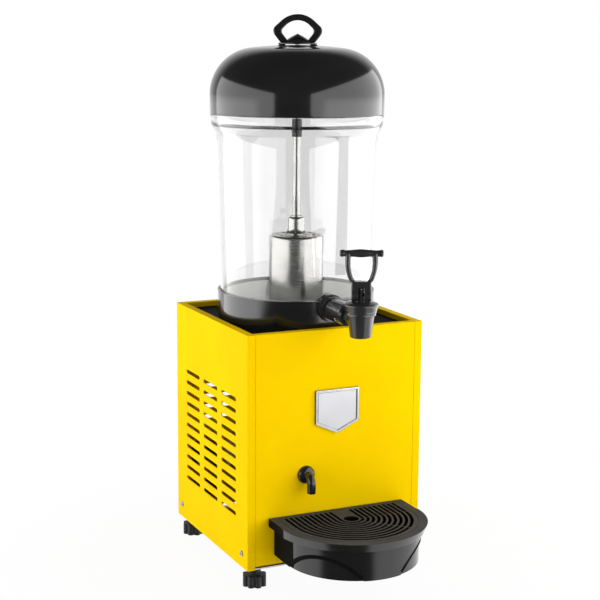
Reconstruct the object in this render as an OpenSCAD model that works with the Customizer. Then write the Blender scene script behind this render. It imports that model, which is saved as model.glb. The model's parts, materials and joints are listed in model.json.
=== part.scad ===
// Refrigerated drink dispenser: a louvred sheet-steel cabinet with the cooling unit inside,
// a clear jar with a spray column on top, a lever tap and a drip tray that pulls off.
// Millimetres, +Z up, the front faces -Y. The origin is on the floor, at the middle of the
// box round the whole object.

/* [Cabinet] */
// Width of the cabinet
cab_w = 220; // [214:1:260]
// Depth of the cabinet
cab_d = 223; // [218:1:260]
// Height of the sheet-steel body
cab_h = 271; // [262:1:320]
// Thickness of the panels' sheet steel
sheet = 1.2; // [0.8:0.1:1.6]
// Width of the folded edges at the front, back and top
fold_w = 9.5; // [8:0.5:12]
// Depth of the deck below the cabinet's top edge
deck_drop = 6; // [4:0.5:9]
// Thickness of the moulded deck
deck_t = 3; // [2.5:0.5:4]
// Height of the front panel's lower edge above that of the side panels
front_raise = 4; // [3:0.5:8]
// Thickness of the base plate
base_t = 1.5; // [1.2:0.1:2.5]
// Height of the base plate's upturned sides
base_flange = 28; // [24:1:40]
// Open seam between two panels
seam = 0.4; // [0.2:0.1:0.6]
// Clearance round the deck and the base plate
panel_fit = 0.3; // [0.2:0.1:0.5]

/* [Louvres] */
// Length of one slot
slot_l = 43.5; // [30:0.5:50]
// Height of one slot
slot_h = 4.8; // [3:0.2:6]
// Columns of slots on a side panel
slot_cols = 3; // [1:1:3]
// Rows of slots on a side panel
slot_rows = 11; // [4:1:12]
// Distance from column to column
slot_step_y = 56.3; // [54:0.1:60]
// Distance from row to row
slot_step_z = 13.4; // [9:0.1:14]
// Height of the lowest row above the cabinet's lower edge
slot_low = 57.5; // [50:0.5:70]
// Columns of slots on the back panel
back_cols = 3; // [1:1:3]
// Rows of slots on the back panel
back_rows = 8; // [3:1:9]
// Height of the back panel's lowest row above the cabinet's lower edge
back_low = 122; // [115:1:130]

/* [Feet and screws] */
// Height of the cabinet above the floor
foot_h = 23; // [19:1:32]
// Outer radius of a foot
foot_r = 14; // [10:0.5:15]
// Height of a foot's lobed knob
foot_knob_h = 13; // [9:1:15]
// Number of lobes round a foot
foot_lobes = 8; // [6:1:10]
// Distance of a foot's axis from the cabinet's sides
foot_inset = 15.5; // [15:0.5:20]
// Radius of a foot's stud
stud_r = 4; // [3:0.5:5]
// Diameter of a panel screw's shank
screw_d = 3.8; // [3:0.1:4.5]
// Diameter of a panel screw's head
screw_head_d = 7; // [6:0.5:8]
// Distance of the side screws from the cabinet's front and back
screw_in = 16; // [14:0.5:30]
// Height of the side screws above the cabinet's lower edge
screw_rise = 16.6; // [12:0.2:20]

/* [Badge and drain] */
// Half width of the badge plate
badge_half_w = 27.3; // [20:0.1:34]
// Height of the badge plate
badge_h = 51.5; // [40:0.5:60]
// Height of the badge's pointed part
badge_point = 12.5; // [6:0.5:18]
// Distance of the badge's top edge below the cabinet's top edge
badge_down = 69.5; // [50:0.5:80]
// Width of the badge's raised border
badge_border = 2.4; // [1.5:0.1:4]
// Distance of the drain elbow from the middle of the front, to the left
drain_x = 38; // [20:1:44]
// Height of the drain elbow above the cabinet's lower edge
drain_rise = 105; // [98:0.5:116]
// Radius of the drain tube
drain_r = 5; // [4:0.25:6]
// Length of the drain elbow's tail behind the front panel
drain_tail = 12; // [10:0.5:16]
// Radius of the drain elbow's round base
drain_base_r = 10.5; // [8:0.5:13]

/* [Drip tray] */
// Radius of the tray's half-round lip
tray_r = 86; // [78:0.5:92]
// Length of the tray's straight sides
tray_leg = 38; // [34:0.5:46]
// Height of the tray
tray_h = 44; // [38:0.5:50]
// Height of the tray's underside above the cabinet's lower edge
tray_rise = 16; // [10:0.5:20]
// Height of the tray's lip
lip_h = 9.5; // [8:0.5:12]
// How far the lip stands out over the tray's wall
lip_over = 8; // [4:0.5:9]
// How far the tray's straight sides stand inside the lip
flank_in = 1; // [0.5:0.25:2]
// Thickness of the tray's walls
tray_wall = 2.5; // [2:0.1:3]
// Height of the tray's floor above its underside
tray_floor_h = 12; // [11:0.5:14]
// Width of the flat rim round the grille
rim_w = 10; // [8:0.5:12]
// Width of the ledge under the grille
ledge_w = 3; // [2:0.5:4]
// Thickness of the grille
grille_t = 3; // [2:0.5:4]
// Thickness of the bridges that join the grille's bars underneath
grille_bridge_t = 1.4; // [0.8:0.1:1.6]
// Number of half-round slots in the grille
grille_slots = 10; // [5:1:10]
// Width of a grille slot
grille_slot_w = 3.6; // [3:0.1:3.8]
// Radius of the grille's middle hole
grille_hole_r = 8.5; // [5:0.5:9]
// Height of the two arched hollows in the tray's wall
arch_h = 24; // [16:1:27]
// Depth of the arched hollows
arch_depth = 1.4; // [0.8:0.1:1.8]
// Angle of the arches from the tray's front
arch_turn = 52; // [48:1:56]
// Gap between the front panel and the tray's back, for the support arms
tray_gap = 2.4; // [2.3:0.1:4]
// Width of the support's back plate
support_w = 130; // [110:1:150]
// Height of the support's back plate
support_h = 20; // [12:0.5:22]
// Distance of a support arm from the middle
support_x = 40; // [30:0.5:48]
// Length of a support arm
support_l = 60; // [45:1:72]
// Width of a support arm
support_bar_w = 24; // [14:0.5:28]
// Thickness of a support arm
support_bar_t = 3; // [2:0.1:3.4]

/* [Jar] */
// Outer radius of the jar in its base ring
jar_r = 89.7; // [86:0.1:92]
// Outer radius of the jar below its rim
jar_top_r = 93.8; // [92:0.1:95]
// Outer radius of the jar's rim
jar_rim_r = 101.2; // [99:0.1:106]
// Height of the jar from its lower edge to the lid's seat
jar_h = 230.3; // [205:0.1:260]
// Thickness of the jar's wall
jar_wall = 3; // [2:0.1:4]
// Height of the flare below the rim
flare_h = 30; // [20:0.5:36]
// Height of the rim's upright band
band_h = 5; // [3:0.5:8]
// Height of the spigot that goes into the lid
spigot_h = 10; // [6:0.5:16]
// Thickness of the base ring's wall
ring_wall = 3; // [2.5:0.1:4]
// Height of the base ring
ring_h = 34.4; // [32:0.2:38]
// Thickness of the base ring's floor
ring_floor = 5; // [3:0.5:6]
// Width of the base ring's floor
ring_floor_w = 22; // [18:1:26]
// Thickness of the jar gasket
gasket_t = 5; // [3:0.5:6]
// Thickness of the steel pan
pan_t = 1.2; // [1:0.1:1.6]
// Height of the pan's wall
pan_h = 21; // [19:0.5:23]
// Clearance between the jar and the pieces round and inside it
jar_fit = 0.3; // [0.2:0.1:0.5]

/* [Lid] */
// Thickness of the lid
lid_t = 2.5; // [2:0.1:3.5]
// Height of the lid's upright wall
lid_wall_h = 22; // [14:0.5:30]
// Radius of the lid's rounded shoulder
lid_round = 56; // [46:0.5:62]
// Rise of the lid's crown over its shoulder
lid_crown = 1.5; // [1:0.1:5]
// Clearance between the lid and the jar's spigot
lid_play = 0.7; // [0.4:0.1:1]
// Radius of the handle's foot plate
handle_plate_r = 22; // [21:0.5:26]
// Thickness of the handle's foot plate
handle_plate_t = 2; // [1.5:0.1:4]
// Half width of the handle ring at its middle line
handle_half_w = 23.5; // [22:0.5:28]
// Height of the handle ring's middle line over its foot plate
handle_h = 29; // [25:0.1:34]
// Height of the ring's widest place over its foot plate
handle_wide_h = 13.6; // [12:0.1:16]
// Angle below the widest place at which the ring meets its foot plate
handle_foot_angle = 46; // [42:1:50]
// Radius of the ring's bar at its sides
handle_bar_r = 5.3; // [4:0.1:6]
// Radius of the ring's bar at its top
handle_top_r = 3.3; // [2.6:0.1:4.5]
// Radius of the pointed crown under the ring
crown_r = 15; // [9:0.5:18]
// Height of the pointed crown
crown_h = 10.7; // [7:0.1:13]
// Turn of the handle about the lid's axis
lid_turn = -25; // [-90:5:90]

/* [Cooling column] */
// Radius of the evaporator can
can_r = 32; // [30:0.5:36]
// Height of the evaporator can over the pan
can_h = 88; // [80:0.5:120]
// Thickness of the can's sheet
can_t = 1; // [0.8:0.1:1.2]
// Radius of the can's rounded top edge
can_edge = 3; // [1.5:0.1:5]
// Radius of the coil's middle line
coil_r = 24.5; // [23:0.1:25]
// Radius of the coil's tube
coil_tube_r = 3; // [2.5:0.1:3.2]
// Turns of the coil
coil_turns = 8.5; // [3.5:1:8.5]
// Rise of the coil in one turn
coil_pitch = 7.6; // [7:0.1:7.8]
// Radius of the pump housing's foot
bell_r = 12.8; // [12:0.1:15]
// Radius of the pump housing's body
bell_top_r = 10.6; // [10.4:0.1:11.6]
// Height of the pump housing
bell_h = 22.5; // [21.5:0.5:28]
// Outer radius of the riser tube
riser_r = 4.7; // [3.5:0.1:5.2]
// Wall of the riser tube
riser_wall = 1; // [0.6:0.1:1.4]
// Height of the riser tube's top over the pump housing
riser_h = 132; // [110:1:150]
// Radius of the spray head's sleeve
spray_r = 5.9; // [5.7:0.1:7]
// Length of the spray head's sleeve
spray_l = 42; // [20:1:60]

/* [Tap] */
// Distance of the tap's spout from the jar's axis
tap_out = 167; // [160:0.5:180]
// Height of the tap's shank over the deck
tap_rise = 26; // [25:0.5:27]
// Radius of the threaded shank through the jar
shank_r = 9; // [7:0.5:9.5]
// Radius of the water way through the shank
way_r = 5.5; // [4:0.5:6]
// Radius of the flange on the barrel
tap_flange_r = 14.5; // [14:0.5:15.5]
// Radius of the barrel
barrel_r = 12.8; // [12:0.1:13.5]
// Length of the barrel in front of its flange
barrel_l = 38; // [30:0.5:40]
// Radius of the tap body's neck
neck_r = 8.5; // [8:0.1:9]
// Radius of the spout's mouth
spout_r = 11.6; // [10:0.1:12]
// Radius of the tap body's top
cup_r = 15; // [14:0.1:16]
// Drop of the spout's mouth below the shank's axis
spout_drop = 19.5; // [17:0.5:22]
// Rise of the tap body's collar over the shank's axis
cup_rise = 8; // [7.5:0.5:10]
// Largest radius of the bonnet
bonnet_r = 19.2; // [18.6:0.1:21]
// Height of the bonnet
bonnet_h = 12.4; // [11.8:0.2:15]
// Radius of the stem
stem_r = 3; // [2.6:0.1:3.2]
// Radius of the handle's pin
pin_r = 1.5; // [1.2:0.1:1.6]
// Radius of the handle's rounded cam
cam_r = 6; // [5.5:0.1:7]
// Half length of the cam's flat
cam_flat = 3; // [2.5:0.1:3.5]
// Width of the handle's fork
fork_w = 20.5; // [17:0.5:22]
// Height of the fork's top over the pin
fork_h = 14.5; // [12:0.5:18]
// Height of the opening between the arms
window_h = 27; // [20:0.5:32]
// Half width of the arms at the T-bar
arms_half_w = 18; // [16:0.5:22]
// Width of one arm
arm_w = 6.2; // [5:0.2:7]
// Thickness of the arms
arm_t = 8; // [6:0.5:9]
// Length of the T-bar
bar_l = 48.5; // [42:0.5:60]
// Turn of the lever about the tap's upright axis
lever_turn = -25; // [-60:5:60]
// Radius of the T-bar
bar_r = 4.2; // [3.6:0.1:5]

/* [Cooling unit] */
// Radius of the compressor
comp_r = 46; // [40:0.5:48]
// Height of the compressor
comp_h = 122; // [90:1:130]
// Height of the compressor's rubber grommets
grommet_h = 10; // [8:0.5:14]
// Width of the condenser's fins
cond_w = 80; // [76:1:84]
// Depth of the condenser's fins
cond_d = 34; // [26:1:36]
// Height of the condenser's fins
cond_h = 132; // [125:1:150]
// Number of fins
cond_fins = 12; // [6:1:12]
// Passes of the condenser's tube
cond_passes = 5; // [3:2:5]
// Distance from pass to pass of the condenser's tube
cond_step = 20; // [16:1:24]
// Radius of the condenser's tube
cond_tube_r = 3.2; // [2.6:0.1:3.6]
// Radius of the fan
fan_r = 35; // [28:0.5:36]
// Radius of the fan's hub
fan_hub_r = 13; // [10:0.5:14]
// Length of the fan's hub
fan_hub_l = 14; // [10:0.5:16]
// Number of fan blades
fan_blades = 5; // [3:1:7]
// Radius of the fan motor
fan_motor_r = 19; // [15:0.5:22]
// Length of the fan motor
fan_motor_l = 24; // [18:0.5:26]
// Radius of the pump motor
pump_r = 22; // [18:0.5:24]
// Height of the pump motor
pump_h = 44; // [30:0.5:50]
// Depth of the pump motor's top below the deck
pump_drop = 14; // [10:0.5:20]
// Width of the motor bracket's bar
bracket_w = 26; // [18:0.5:34]
// Radius of the motor bracket's posts
post_r = 4; // [3:0.25:5]
// Radius of the filter drier
drier_r = 9; // [7:0.5:11]
// Length of the filter drier
drier_l = 80; // [60:1:90]
// Radius of the refrigerant pipes
pipe_r = 3; // [2.4:0.1:3.2]

/* [Controls] */
// Distance of the switch and the inlet from the cabinet's left side
control_in = 34; // [31:0.5:36]
// Height of the mains inlet above the cabinet's lower edge
inlet_rise = 34; // [32:0.5:38]
// Height of the switch above the cabinet's lower edge
switch_rise = 76; // [72:0.5:82]
// Distance of the thermostat from the switch
thermo_step = 38; // [36:0.5:40]
// Radius of the thermostat's knob
knob_r = 15; // [11:0.5:17]
// Height of the thermostat's knob over the back panel
knob_out = 16; // [12:0.5:20]
// Tilt of a rocker from its middle
rocker_tilt = 10; // [6:1:12]

/* [Fits] */
// Radial clearance of a turning or sliding shaft
run_fit = 0.05; // [0.03:0.01:0.08]
// Gap between faces that move past each other
slide_gap = 0.35; // [0.3:0.05:0.5]

/* [Hidden] */
$fn = 64;

// Main planes of the cabinet
base_z = foot_h;
top_z = foot_h + cab_h;
deck_z = top_z - deck_drop;
deck_under_z = deck_z - deck_t;
tray_reach = tray_gap + tray_leg + tray_r;
front_y = tray_reach - (tray_reach + cab_d + knob_out) / 2;
back_y = front_y + cab_d;
axis_y = front_y + cab_d / 2;
side_x = cab_w / 2;
panel_half = side_x - fold_w - seam;
inner_w = cab_w - 2 * (sheet + panel_fit);
inner_d = cab_d - 2 * (sheet + panel_fit);
return_w = 12;
floor_z = base_z + base_t;
ledge_in = 9;

// Fasteners of the cabinet
screw_l = 9;
screw_spread = cab_d / 2 - screw_in;
screw_head_h = 1.8;
screw_fit = 0.2;
nut_h = 8;
foot_nut_r = 8;
foot_neck_r = 7;
foot_x = side_x - foot_inset;
foot_y = cab_d / 2 - foot_inset;

// Jar and its stack
ring_r = jar_r + jar_fit + ring_wall;
gasket_z = deck_z + ring_floor;
jar_z = gasket_z + gasket_t;
jar_in_r = jar_r - jar_wall;
pan_r = jar_in_r - jar_fit;
pan_top_z = jar_z + pan_t;
jar_foot_h = ring_h - ring_floor - gasket_t + 12;
lid_seat_z = jar_z + jar_h;
lid_r = jar_rim_r + 0.5;
spigot_r = lid_r - lid_t - lid_play;
lid_z = lid_seat_z + 0.2;
lid_top_z = lid_z + lid_wall_h + lid_round + lid_crown;
crown_flat_r = handle_plate_r + 1;
handle_z = lid_top_z + handle_plate_t;

// Cooling column
can_top_z = pan_top_z + can_h;
deck_hole_r = can_r + 1;
pan_hole_r = can_r - can_t - 1;
bell_cavity_r = bell_top_r - 1.4;
impeller_r = bell_cavity_r - 1.2;
impeller_pin_r = 1.5;
riser_z = can_top_z + bell_h - 7;
riser_top_z = can_top_z + bell_h + riser_h;
spray_top_z = riser_top_z + 4;
coil_z = pan_top_z + coil_tube_r + 4;
coil_top_z = coil_z + coil_turns * coil_pitch;
motor_top_z = deck_under_z - pump_drop;
post_x = deck_hole_r + 2 * post_r;
shaft_in = 10;
bracket_t = 2;
shaft_r = 3;
magnet_h = 7;
magnet_z = can_top_z - can_t - 1.6 - magnet_h;

// Tap
tap_z = deck_z + tap_rise;
tap_y = axis_y - tap_out;
boss_y = axis_y - ring_r - 2.5;
boss_r = tap_flange_r + 1.6;
washer_r = tap_flange_r + 1;
washer_t = 2.5;
tap_flange_t = 4;
barrel_y = boss_y - washer_t - tap_flange_t;
neck_y = barrel_y - barrel_l;
lock_nut_r = 13.6;
lock_nut_t = 7;
lock_seat_y = axis_y - sqrt(pow(pan_r - pan_t, 2) - pow(lock_nut_r, 2)) + 0.2;
spout_z = tap_z - spout_drop;
cup_z = tap_z + cup_rise;
thread_r = cup_r - 1;
thread_h = 7;
bonnet_top_z = cup_z + 0.2 + bonnet_h;
bonnet_flat_r = 12.2;
pin_z = bonnet_top_z + 0.3 + cam_r;
slot_gap = stem_r + slide_gap;
window_z = pin_z + fork_h;
bar_z = window_z + window_h + bar_r;
seat_r = 6.5;
seal_r = 8.4;
chamber_r = 9.4;
seat_z = spout_z + 9;

// Cooling unit
plate_w = 2 * comp_r + 10;
plate_d = 2 * comp_r - 22;
comp_x = side_x - sheet - panel_fit - base_t - 4 - plate_w / 2;
comp_y = front_y + foot_inset + foot_nut_r + 2 + plate_d / 2;
comp_z = floor_z + grommet_h;
comp_top_z = comp_z + 3 + comp_h;
grommet_r = 8;
cond_y = back_y - sheet - 10 - cond_d;
cond_z = floor_z + 6;
cond_tail = 6;
cond_rim = 2.4;
cond_x = foot_x - foot_nut_r - 2 - cond_rim - cond_w / 2;
cond_first_z = cond_z + (cond_h - (cond_passes - 1) * cond_step) / 2;
end_plate_t = 1.2;
fan_y = cond_y - end_plate_t;
fan_z = cond_z + cond_h / 2;
shroud_t = 1.2;
shroud_l = 22;
shroud_r = fan_r + 3;
fan_arm_t = 2;
fan_shaft_r = 2.5;
drier_x = -30;
drier_y = axis_y + 26;
drier_z = floor_z + 44;

// Controls
control_x = side_x - control_in;
thermo_x = control_x - thermo_step;
inlet_z = base_z + inlet_rise;
switch_z = base_z + switch_rise;
thermo_shaft_r = 3;
thermo_w = 26;
thermo_h = 30;
thermo_depth = 22;
inlet_w = 27;
inlet_h = 19.6;
inlet_depth = 17;
switch_w = 30;
switch_h = 28;
switch_depth = 20;
rocker_w = 11.4;
rocker_h = 19;
rocker_pin_r = 1.5;
rocker_y = back_y - 2.5;

// Colours
yellow = "#ffe000";
gloss_black = "#1c1c1e";
steel = "#c8cacc";
clear = [0.92, 0.95, 0.97, 0.3];
copper = "#b8703c";
rubber = "#2a2a2a";

// Shared shapes

// Draws a flat outline in the YZ plane and thickens it towards +X
module on_side(x) translate([x, 0, 0]) rotate([90, 0, 90]) children();

// Draws a flat outline in the XZ plane and thickens it towards -Y
module on_front(y) translate([0, y, 0]) rotate([90, 0, 0]) children();

// Lays a Z axis along +Y
module along_y(x, y, z) translate([x, y, z]) rotate([-90, 0, 0]) children();

// Slot with round ends, centred
module slot_2d(l, h) {
    square([l - h, h], center = true);
    for (s = [-1, 1])
        translate([s * (l - h) / 2, 0]) circle(d = h);
}

// Block of slots, centred on u, with its lowest row at v
module slots_2d(u, v, cols, rows) {
    for (c = [0 : cols - 1])
        for (r = [0 : rows - 1])
            translate([u + (c - (cols - 1) / 2) * slot_step_y, v + r * slot_step_z])
                slot_2d(slot_l, slot_h);
}

// Ring about the Z axis
module ring(r_out, r_in, h) {
    difference() {
        cylinder(r = r_out, h = h);
        translate([0, 0, -1]) cylinder(r = r_in, h = h + 2);
    }
}

function unit(v) = v / norm(v);

// Points of a ring of n corners round p, square to the direction t
function ring_points(p, t, up, r, n) =
    let (a = unit(cross(t, up)), b = cross(a, t))
    [for (k = [0 : n - 1]) p + r * (cos(360 * k / n) * a + sin(360 * k / n) * b)];

// Smooth curve through points, with the given steps between two of them
function between(a, b, c, d, t) =
    let (l = norm(c - b), start = (c - a) * l / (l + norm(b - a)), end = (d - b) * l / (l + norm(d - c)))
    b + start * t + (3 * (c - b) - 2 * start - end) * t * t + (2 * (b - c) + start + end) * t * t * t;
function route(p, steps) = let (m = len(p) - 1)
    concat([for (i = [0 : m - 1]) for (s = [0 : steps - 1])
        between(p[max(i - 1, 0)], p[i], p[i + 1], p[min(i + 2, m)], s / steps)], [p[m]]);

// Solid bar of n sides along a path, with one radius for each point
module swept_bar(path, radii, n, up) {
    m = len(path);
    points = [for (i = [0 : m - 1])
        let (t = unit(path[min(i + 1, m - 1)] - path[max(i - 1, 0)]))
        each ring_points(path[i], t, up, radii[i], n)];
    sides = [for (i = [0 : m - 2]) for (k = [0 : n - 1])
        let (a = i * n + k, b = i * n + (k + 1) % n)
        each [[a, b, b + n], [a, b + n, a + n]]];
    first = [for (k = [1 : n - 2]) [0, k + 1, k]];
    last = [for (k = [1 : n - 2]) [(m - 1) * n, (m - 1) * n + k, (m - 1) * n + k + 1]];
    polyhedron(points, concat(sides, first, last));
}

module pipe(path, r, up) swept_bar(path, [for (p = path) r], 8, up);

// Cabinet

module side_screw_places() {
    for (s = [-1, 1])
        translate([axis_y + s * screw_spread, base_z + screw_rise]) children();
}

module side_panel() {
    on_side(-side_x) linear_extrude(sheet) difference() {
        translate([front_y, base_z]) square([cab_d, cab_h]);
        slots_2d(axis_y, base_z + slot_low, slot_cols, slot_rows);
        side_screw_places() circle(d = screw_d + screw_fit);
    }
    for (y = [front_y, back_y - sheet])
        translate([-side_x, y, base_z]) cube([fold_w, sheet, cab_h]);
    translate([-side_x, front_y, top_z - sheet]) cube([fold_w, cab_d, sheet]);
    translate([-side_x + fold_w - sheet, front_y + sheet, deck_z])
        cube([sheet, cab_d - 2 * sheet, deck_drop]);
    translate([-side_x, front_y + return_w, deck_under_z - sheet])
        cube([ledge_in, cab_d - 2 * return_w, sheet]);
}

module left_side_panel() color(yellow) side_panel();

module right_side_panel() color(yellow) mirror([1, 0, 0]) side_panel();

// Folded top edge and side returns of a panel whose outer face is at y; s points inwards
module panel_folds(y, s) {
    low_z = floor_z + nut_h + 4;
    translate([-panel_half, min(y, y + s * fold_w), top_z - sheet])
        cube([2 * panel_half, fold_w, sheet]);
    translate([-panel_half, s > 0 ? y + fold_w - sheet : y - fold_w, deck_z])
        cube([2 * panel_half, sheet, deck_drop]);
    for (x = [-panel_half, panel_half - sheet])
        translate([x, min(y, y + s * return_w), low_z])
            cube([sheet, return_w, deck_under_z - sheet - low_z]);
}

module front_panel() color(yellow) {
    low_z = base_z + front_raise;
    on_front(front_y + sheet) linear_extrude(sheet) difference() {
        translate([-panel_half, low_z]) square([2 * panel_half, top_z - low_z]);
        translate([-drain_x, base_z + drain_rise]) circle(r = drain_r - 1 + panel_fit);
    }
    panel_folds(front_y, 1);
}

module back_panel() color(yellow) {
    low_z = base_z + front_raise;
    on_front(back_y) linear_extrude(sheet) difference() {
        translate([-panel_half, low_z]) square([2 * panel_half, top_z - low_z]);
        slots_2d(0, base_z + back_low, back_cols, back_rows);
        translate([-control_x, inlet_z])
            square([inlet_w + 2 * panel_fit, inlet_h + 2 * panel_fit], center = true);
        translate([-control_x, switch_z])
            square([switch_w + 2 * panel_fit, switch_h + 2 * panel_fit], center = true);
        translate([-thermo_x, switch_z]) circle(r = thermo_shaft_r + panel_fit);
    }
    panel_folds(back_y, -1);
}

module foot_places() {
    for (sx = [-1, 1])
        for (sy = [-1, 1])
            translate([sx * foot_x, axis_y + sy * foot_y, 0]) children();
}

module base_plate() color(steel) {
    difference() {
        union() {
            translate([-inner_w / 2, axis_y - inner_d / 2, base_z]) cube([inner_w, inner_d, base_t]);
            for (x = [-inner_w / 2, inner_w / 2 - base_t])
                translate([x, axis_y - inner_d / 2, base_z]) cube([base_t, inner_d, base_flange]);
        }
        foot_places() translate([0, 0, base_z - 1]) cylinder(r = stud_r + panel_fit, h = base_t + 2);
        on_side(-side_x) linear_extrude(cab_w)
            side_screw_places() circle(d = screw_d + screw_fit);
    }
}

module top_deck() color(gloss_black) {
    difference() {
        translate([-inner_w / 2, axis_y - inner_d / 2, deck_under_z]) cube([inner_w, inner_d, deck_t]);
        translate([0, axis_y, deck_under_z - 1]) cylinder(r = deck_hole_r, h = deck_t + 2);
        translate([-drain_x, front_y + fold_w + drain_r + 2, deck_under_z - 1])
            cylinder(r = drain_r - 1.5, h = deck_t + 2);
    }
}

// Screw along Z: the head stands over z = 0, the shank goes below
module screw() {
    cylinder(d1 = screw_head_d, d2 = screw_head_d - 2, h = screw_head_h);
    translate([0, 0, -screw_l]) cylinder(d = screw_d, h = screw_l);
}

module panel_screws() color(yellow) {
    for (sx = [-1, 1])
        for (sy = [-1, 1])
            translate([sx * side_x, axis_y + sy * screw_spread, base_z + screw_rise])
                rotate([0, 90 * sx, 0]) screw();
}

module foot_nuts() color(steel) {
    foot_places() translate([0, 0, floor_z]) difference() {
        cylinder(r = foot_nut_r, h = nut_h, $fn = 6);
        translate([0, 0, -1]) cylinder(r = stud_r + run_fit, h = nut_h + 2);
    }
}

module levelling_foot(sx, sy) color(rubber) {
    lobe_r = foot_r * 0.28;
    translate([sx * foot_x, axis_y + sy * foot_y, 0]) {
        linear_extrude(foot_knob_h) {
            circle(r = foot_r - lobe_r * 0.7);
            for (k = [0 : foot_lobes - 1])
                rotate(360 * k / foot_lobes) translate([foot_r - lobe_r, 0]) circle(r = lobe_r);
        }
        cylinder(r = foot_neck_r, h = base_z - slide_gap);
        cylinder(r = stud_r, h = floor_z + nut_h + 2);
    }
}

module foot_front_left() levelling_foot(-1, -1);

module foot_front_right() levelling_foot(1, -1);

module foot_back_left() levelling_foot(-1, 1);

module foot_back_right() levelling_foot(1, 1);

// Shield outline, drawn in by b on every side
module shield_2d(b) {
    w = badge_half_w - b;
    low = badge_h - badge_point - b * 0.3;
    polygon([[-w, -b], [w, -b], [w, -low], [0, -badge_h + b * 1.1], [-w, -low]]);
}

module badge_plate() color(steel) {
    translate([0, 0, top_z - badge_down]) {
        on_front(front_y) linear_extrude(1.6) shield_2d(0);
        on_front(front_y - 1.6) linear_extrude(1) difference() {
            shield_2d(0);
            shield_2d(badge_border);
        }
    }
}

// Drain elbow: a domed base on the panel and a tube that turns down
module drain_elbow() color(gloss_black) {
    bend = drain_r + 3;
    out = 7;
    z = base_z + drain_rise;
    along_y(-drain_x, front_y, z) rotate([180, 0, 0]) rotate_extrude()
        polygon(concat([[0, 0]], [for (a = [0 : 10 : 90]) [drain_base_r * cos(a), 7 * sin(a)]]));
    along_y(-drain_x, front_y - out, z) cylinder(r = drain_r, h = out);
    translate([-drain_x, front_y - out, z - bend]) rotate([90, 0, -90])
        rotate_extrude(angle = 90) translate([bend, 0]) circle(r = drain_r);
    translate([-drain_x, front_y - out - bend, z - bend - 10]) difference() {
        cylinder(r = drain_r, h = 10);
        translate([0, 0, -1]) cylinder(r = drain_r - 1.6, h = 3);
    }
    along_y(-drain_x, front_y, z) cylinder(r = drain_r - 1, h = sheet + drain_tail);
}

module drain_nut() color(gloss_black) {
    along_y(-drain_x, front_y + sheet, base_z + drain_rise) difference() {
        cylinder(r = drain_r + 4, h = 5, $fn = 6);
        translate([0, 0, -1]) cylinder(r = drain_r - 1 + run_fit, h = 7);
    }
}

module drain_hose() color([0.85, 0.85, 0.82]) {
    y = front_y + sheet + drain_tail + 0.2;
    z = base_z + drain_rise;
    top_y = front_y + fold_w + drain_r + 2;
    rise = deck_under_z - z;
    bow = 3 * drain_r;
    pipe(route([[-drain_x, y, z], [-drain_x, y + bow * 0.6, z + bow * 0.07],
        [-drain_x, y + bow, z + bow * 0.8], [-drain_x, y + bow * 0.8, z + rise * 0.23],
        [-drain_x, top_y + 1, z + rise * 0.6], [-drain_x, top_y, z + rise * 0.91],
        [-drain_x, top_y, deck_under_z - 0.1]], 4), drain_r - 0.5, [1, 0, 0]);
}

// Drip tray

tray_z = base_z + tray_rise;
tray_y = front_y - tray_gap;
tray_top_z = tray_z + tray_h;
tray_hw = tray_r - flank_in;
tray_wall_r = tray_r - lip_over;
tray_floor_z = tray_z + tray_floor_h;
grille_fit = 0.4;
arm_gap = 0.4;

// Half disc in front of two straight sides, drawn in by back at its straight edge
module tray_plan(r, hw, back) {
    translate([0, -tray_leg]) intersection() {
        circle(r = r);
        translate([-r, -r]) square([2 * r, r]);
    }
    translate([-hw, -tray_leg]) square([2 * hw, tray_leg - back]);
}

// Arched hollow in the tray's round wall, turned from the front by a
module arch_hollow(a) {
    span = tray_wall_r * sin(35);
    arch_r = (span * span + arch_h * arch_h) / (2 * arch_h);
    translate([0, tray_y - tray_leg, tray_z]) rotate(a) difference() {
        translate([0, -tray_wall_r / 2, arch_h - arch_r]) rotate([90, 0, 0])
            cylinder(r = arch_r, h = tray_wall_r);
        cylinder(r = tray_wall_r - arch_depth, h = 3 * arch_r, center = true);
    }
}

module drip_tray() color(gloss_black) {
    hollow_r = tray_wall_r - tray_wall - arch_depth;
    difference() {
        translate([0, tray_y, 0]) difference() {
            union() {
                translate([0, 0, tray_z]) linear_extrude(tray_h - lip_h)
                    tray_plan(tray_wall_r, tray_hw, 0);
                translate([0, 0, tray_top_z - lip_h]) linear_extrude(lip_h) tray_plan(tray_r, tray_hw, 0);
            }
            translate([0, 0, tray_floor_z]) linear_extrude(tray_h - tray_floor_h - grille_t - 2.5)
                tray_plan(tray_wall_r - tray_wall, tray_wall_r - tray_wall, tray_wall);
            translate([0, 0, tray_floor_z]) linear_extrude(tray_h)
                tray_plan(tray_r - rim_w - ledge_w, tray_r - rim_w - ledge_w, rim_w / 2 + ledge_w);
            translate([0, 0, tray_top_z - grille_t]) linear_extrude(grille_t + 1)
                tray_plan(tray_r - rim_w, tray_r - rim_w, rim_w / 2);
            translate([0, 0, tray_z - 1]) linear_extrude(tray_floor_h - tray_wall + 1)
                tray_plan(hollow_r, hollow_r, -1);
        }
        for (s = [-1, 1])
            arch_hollow(s * arch_turn);
    }
}

// U-shaped opening of the grille: half-round in front, straight legs behind
module grille_slot_2d(r) {
    back = rim_w / 2 + grille_fit + 3;
    difference() {
        tray_plan(r + grille_slot_w, r + grille_slot_w, back);
        tray_plan(r, r, back - 1);
    }
}

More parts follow.
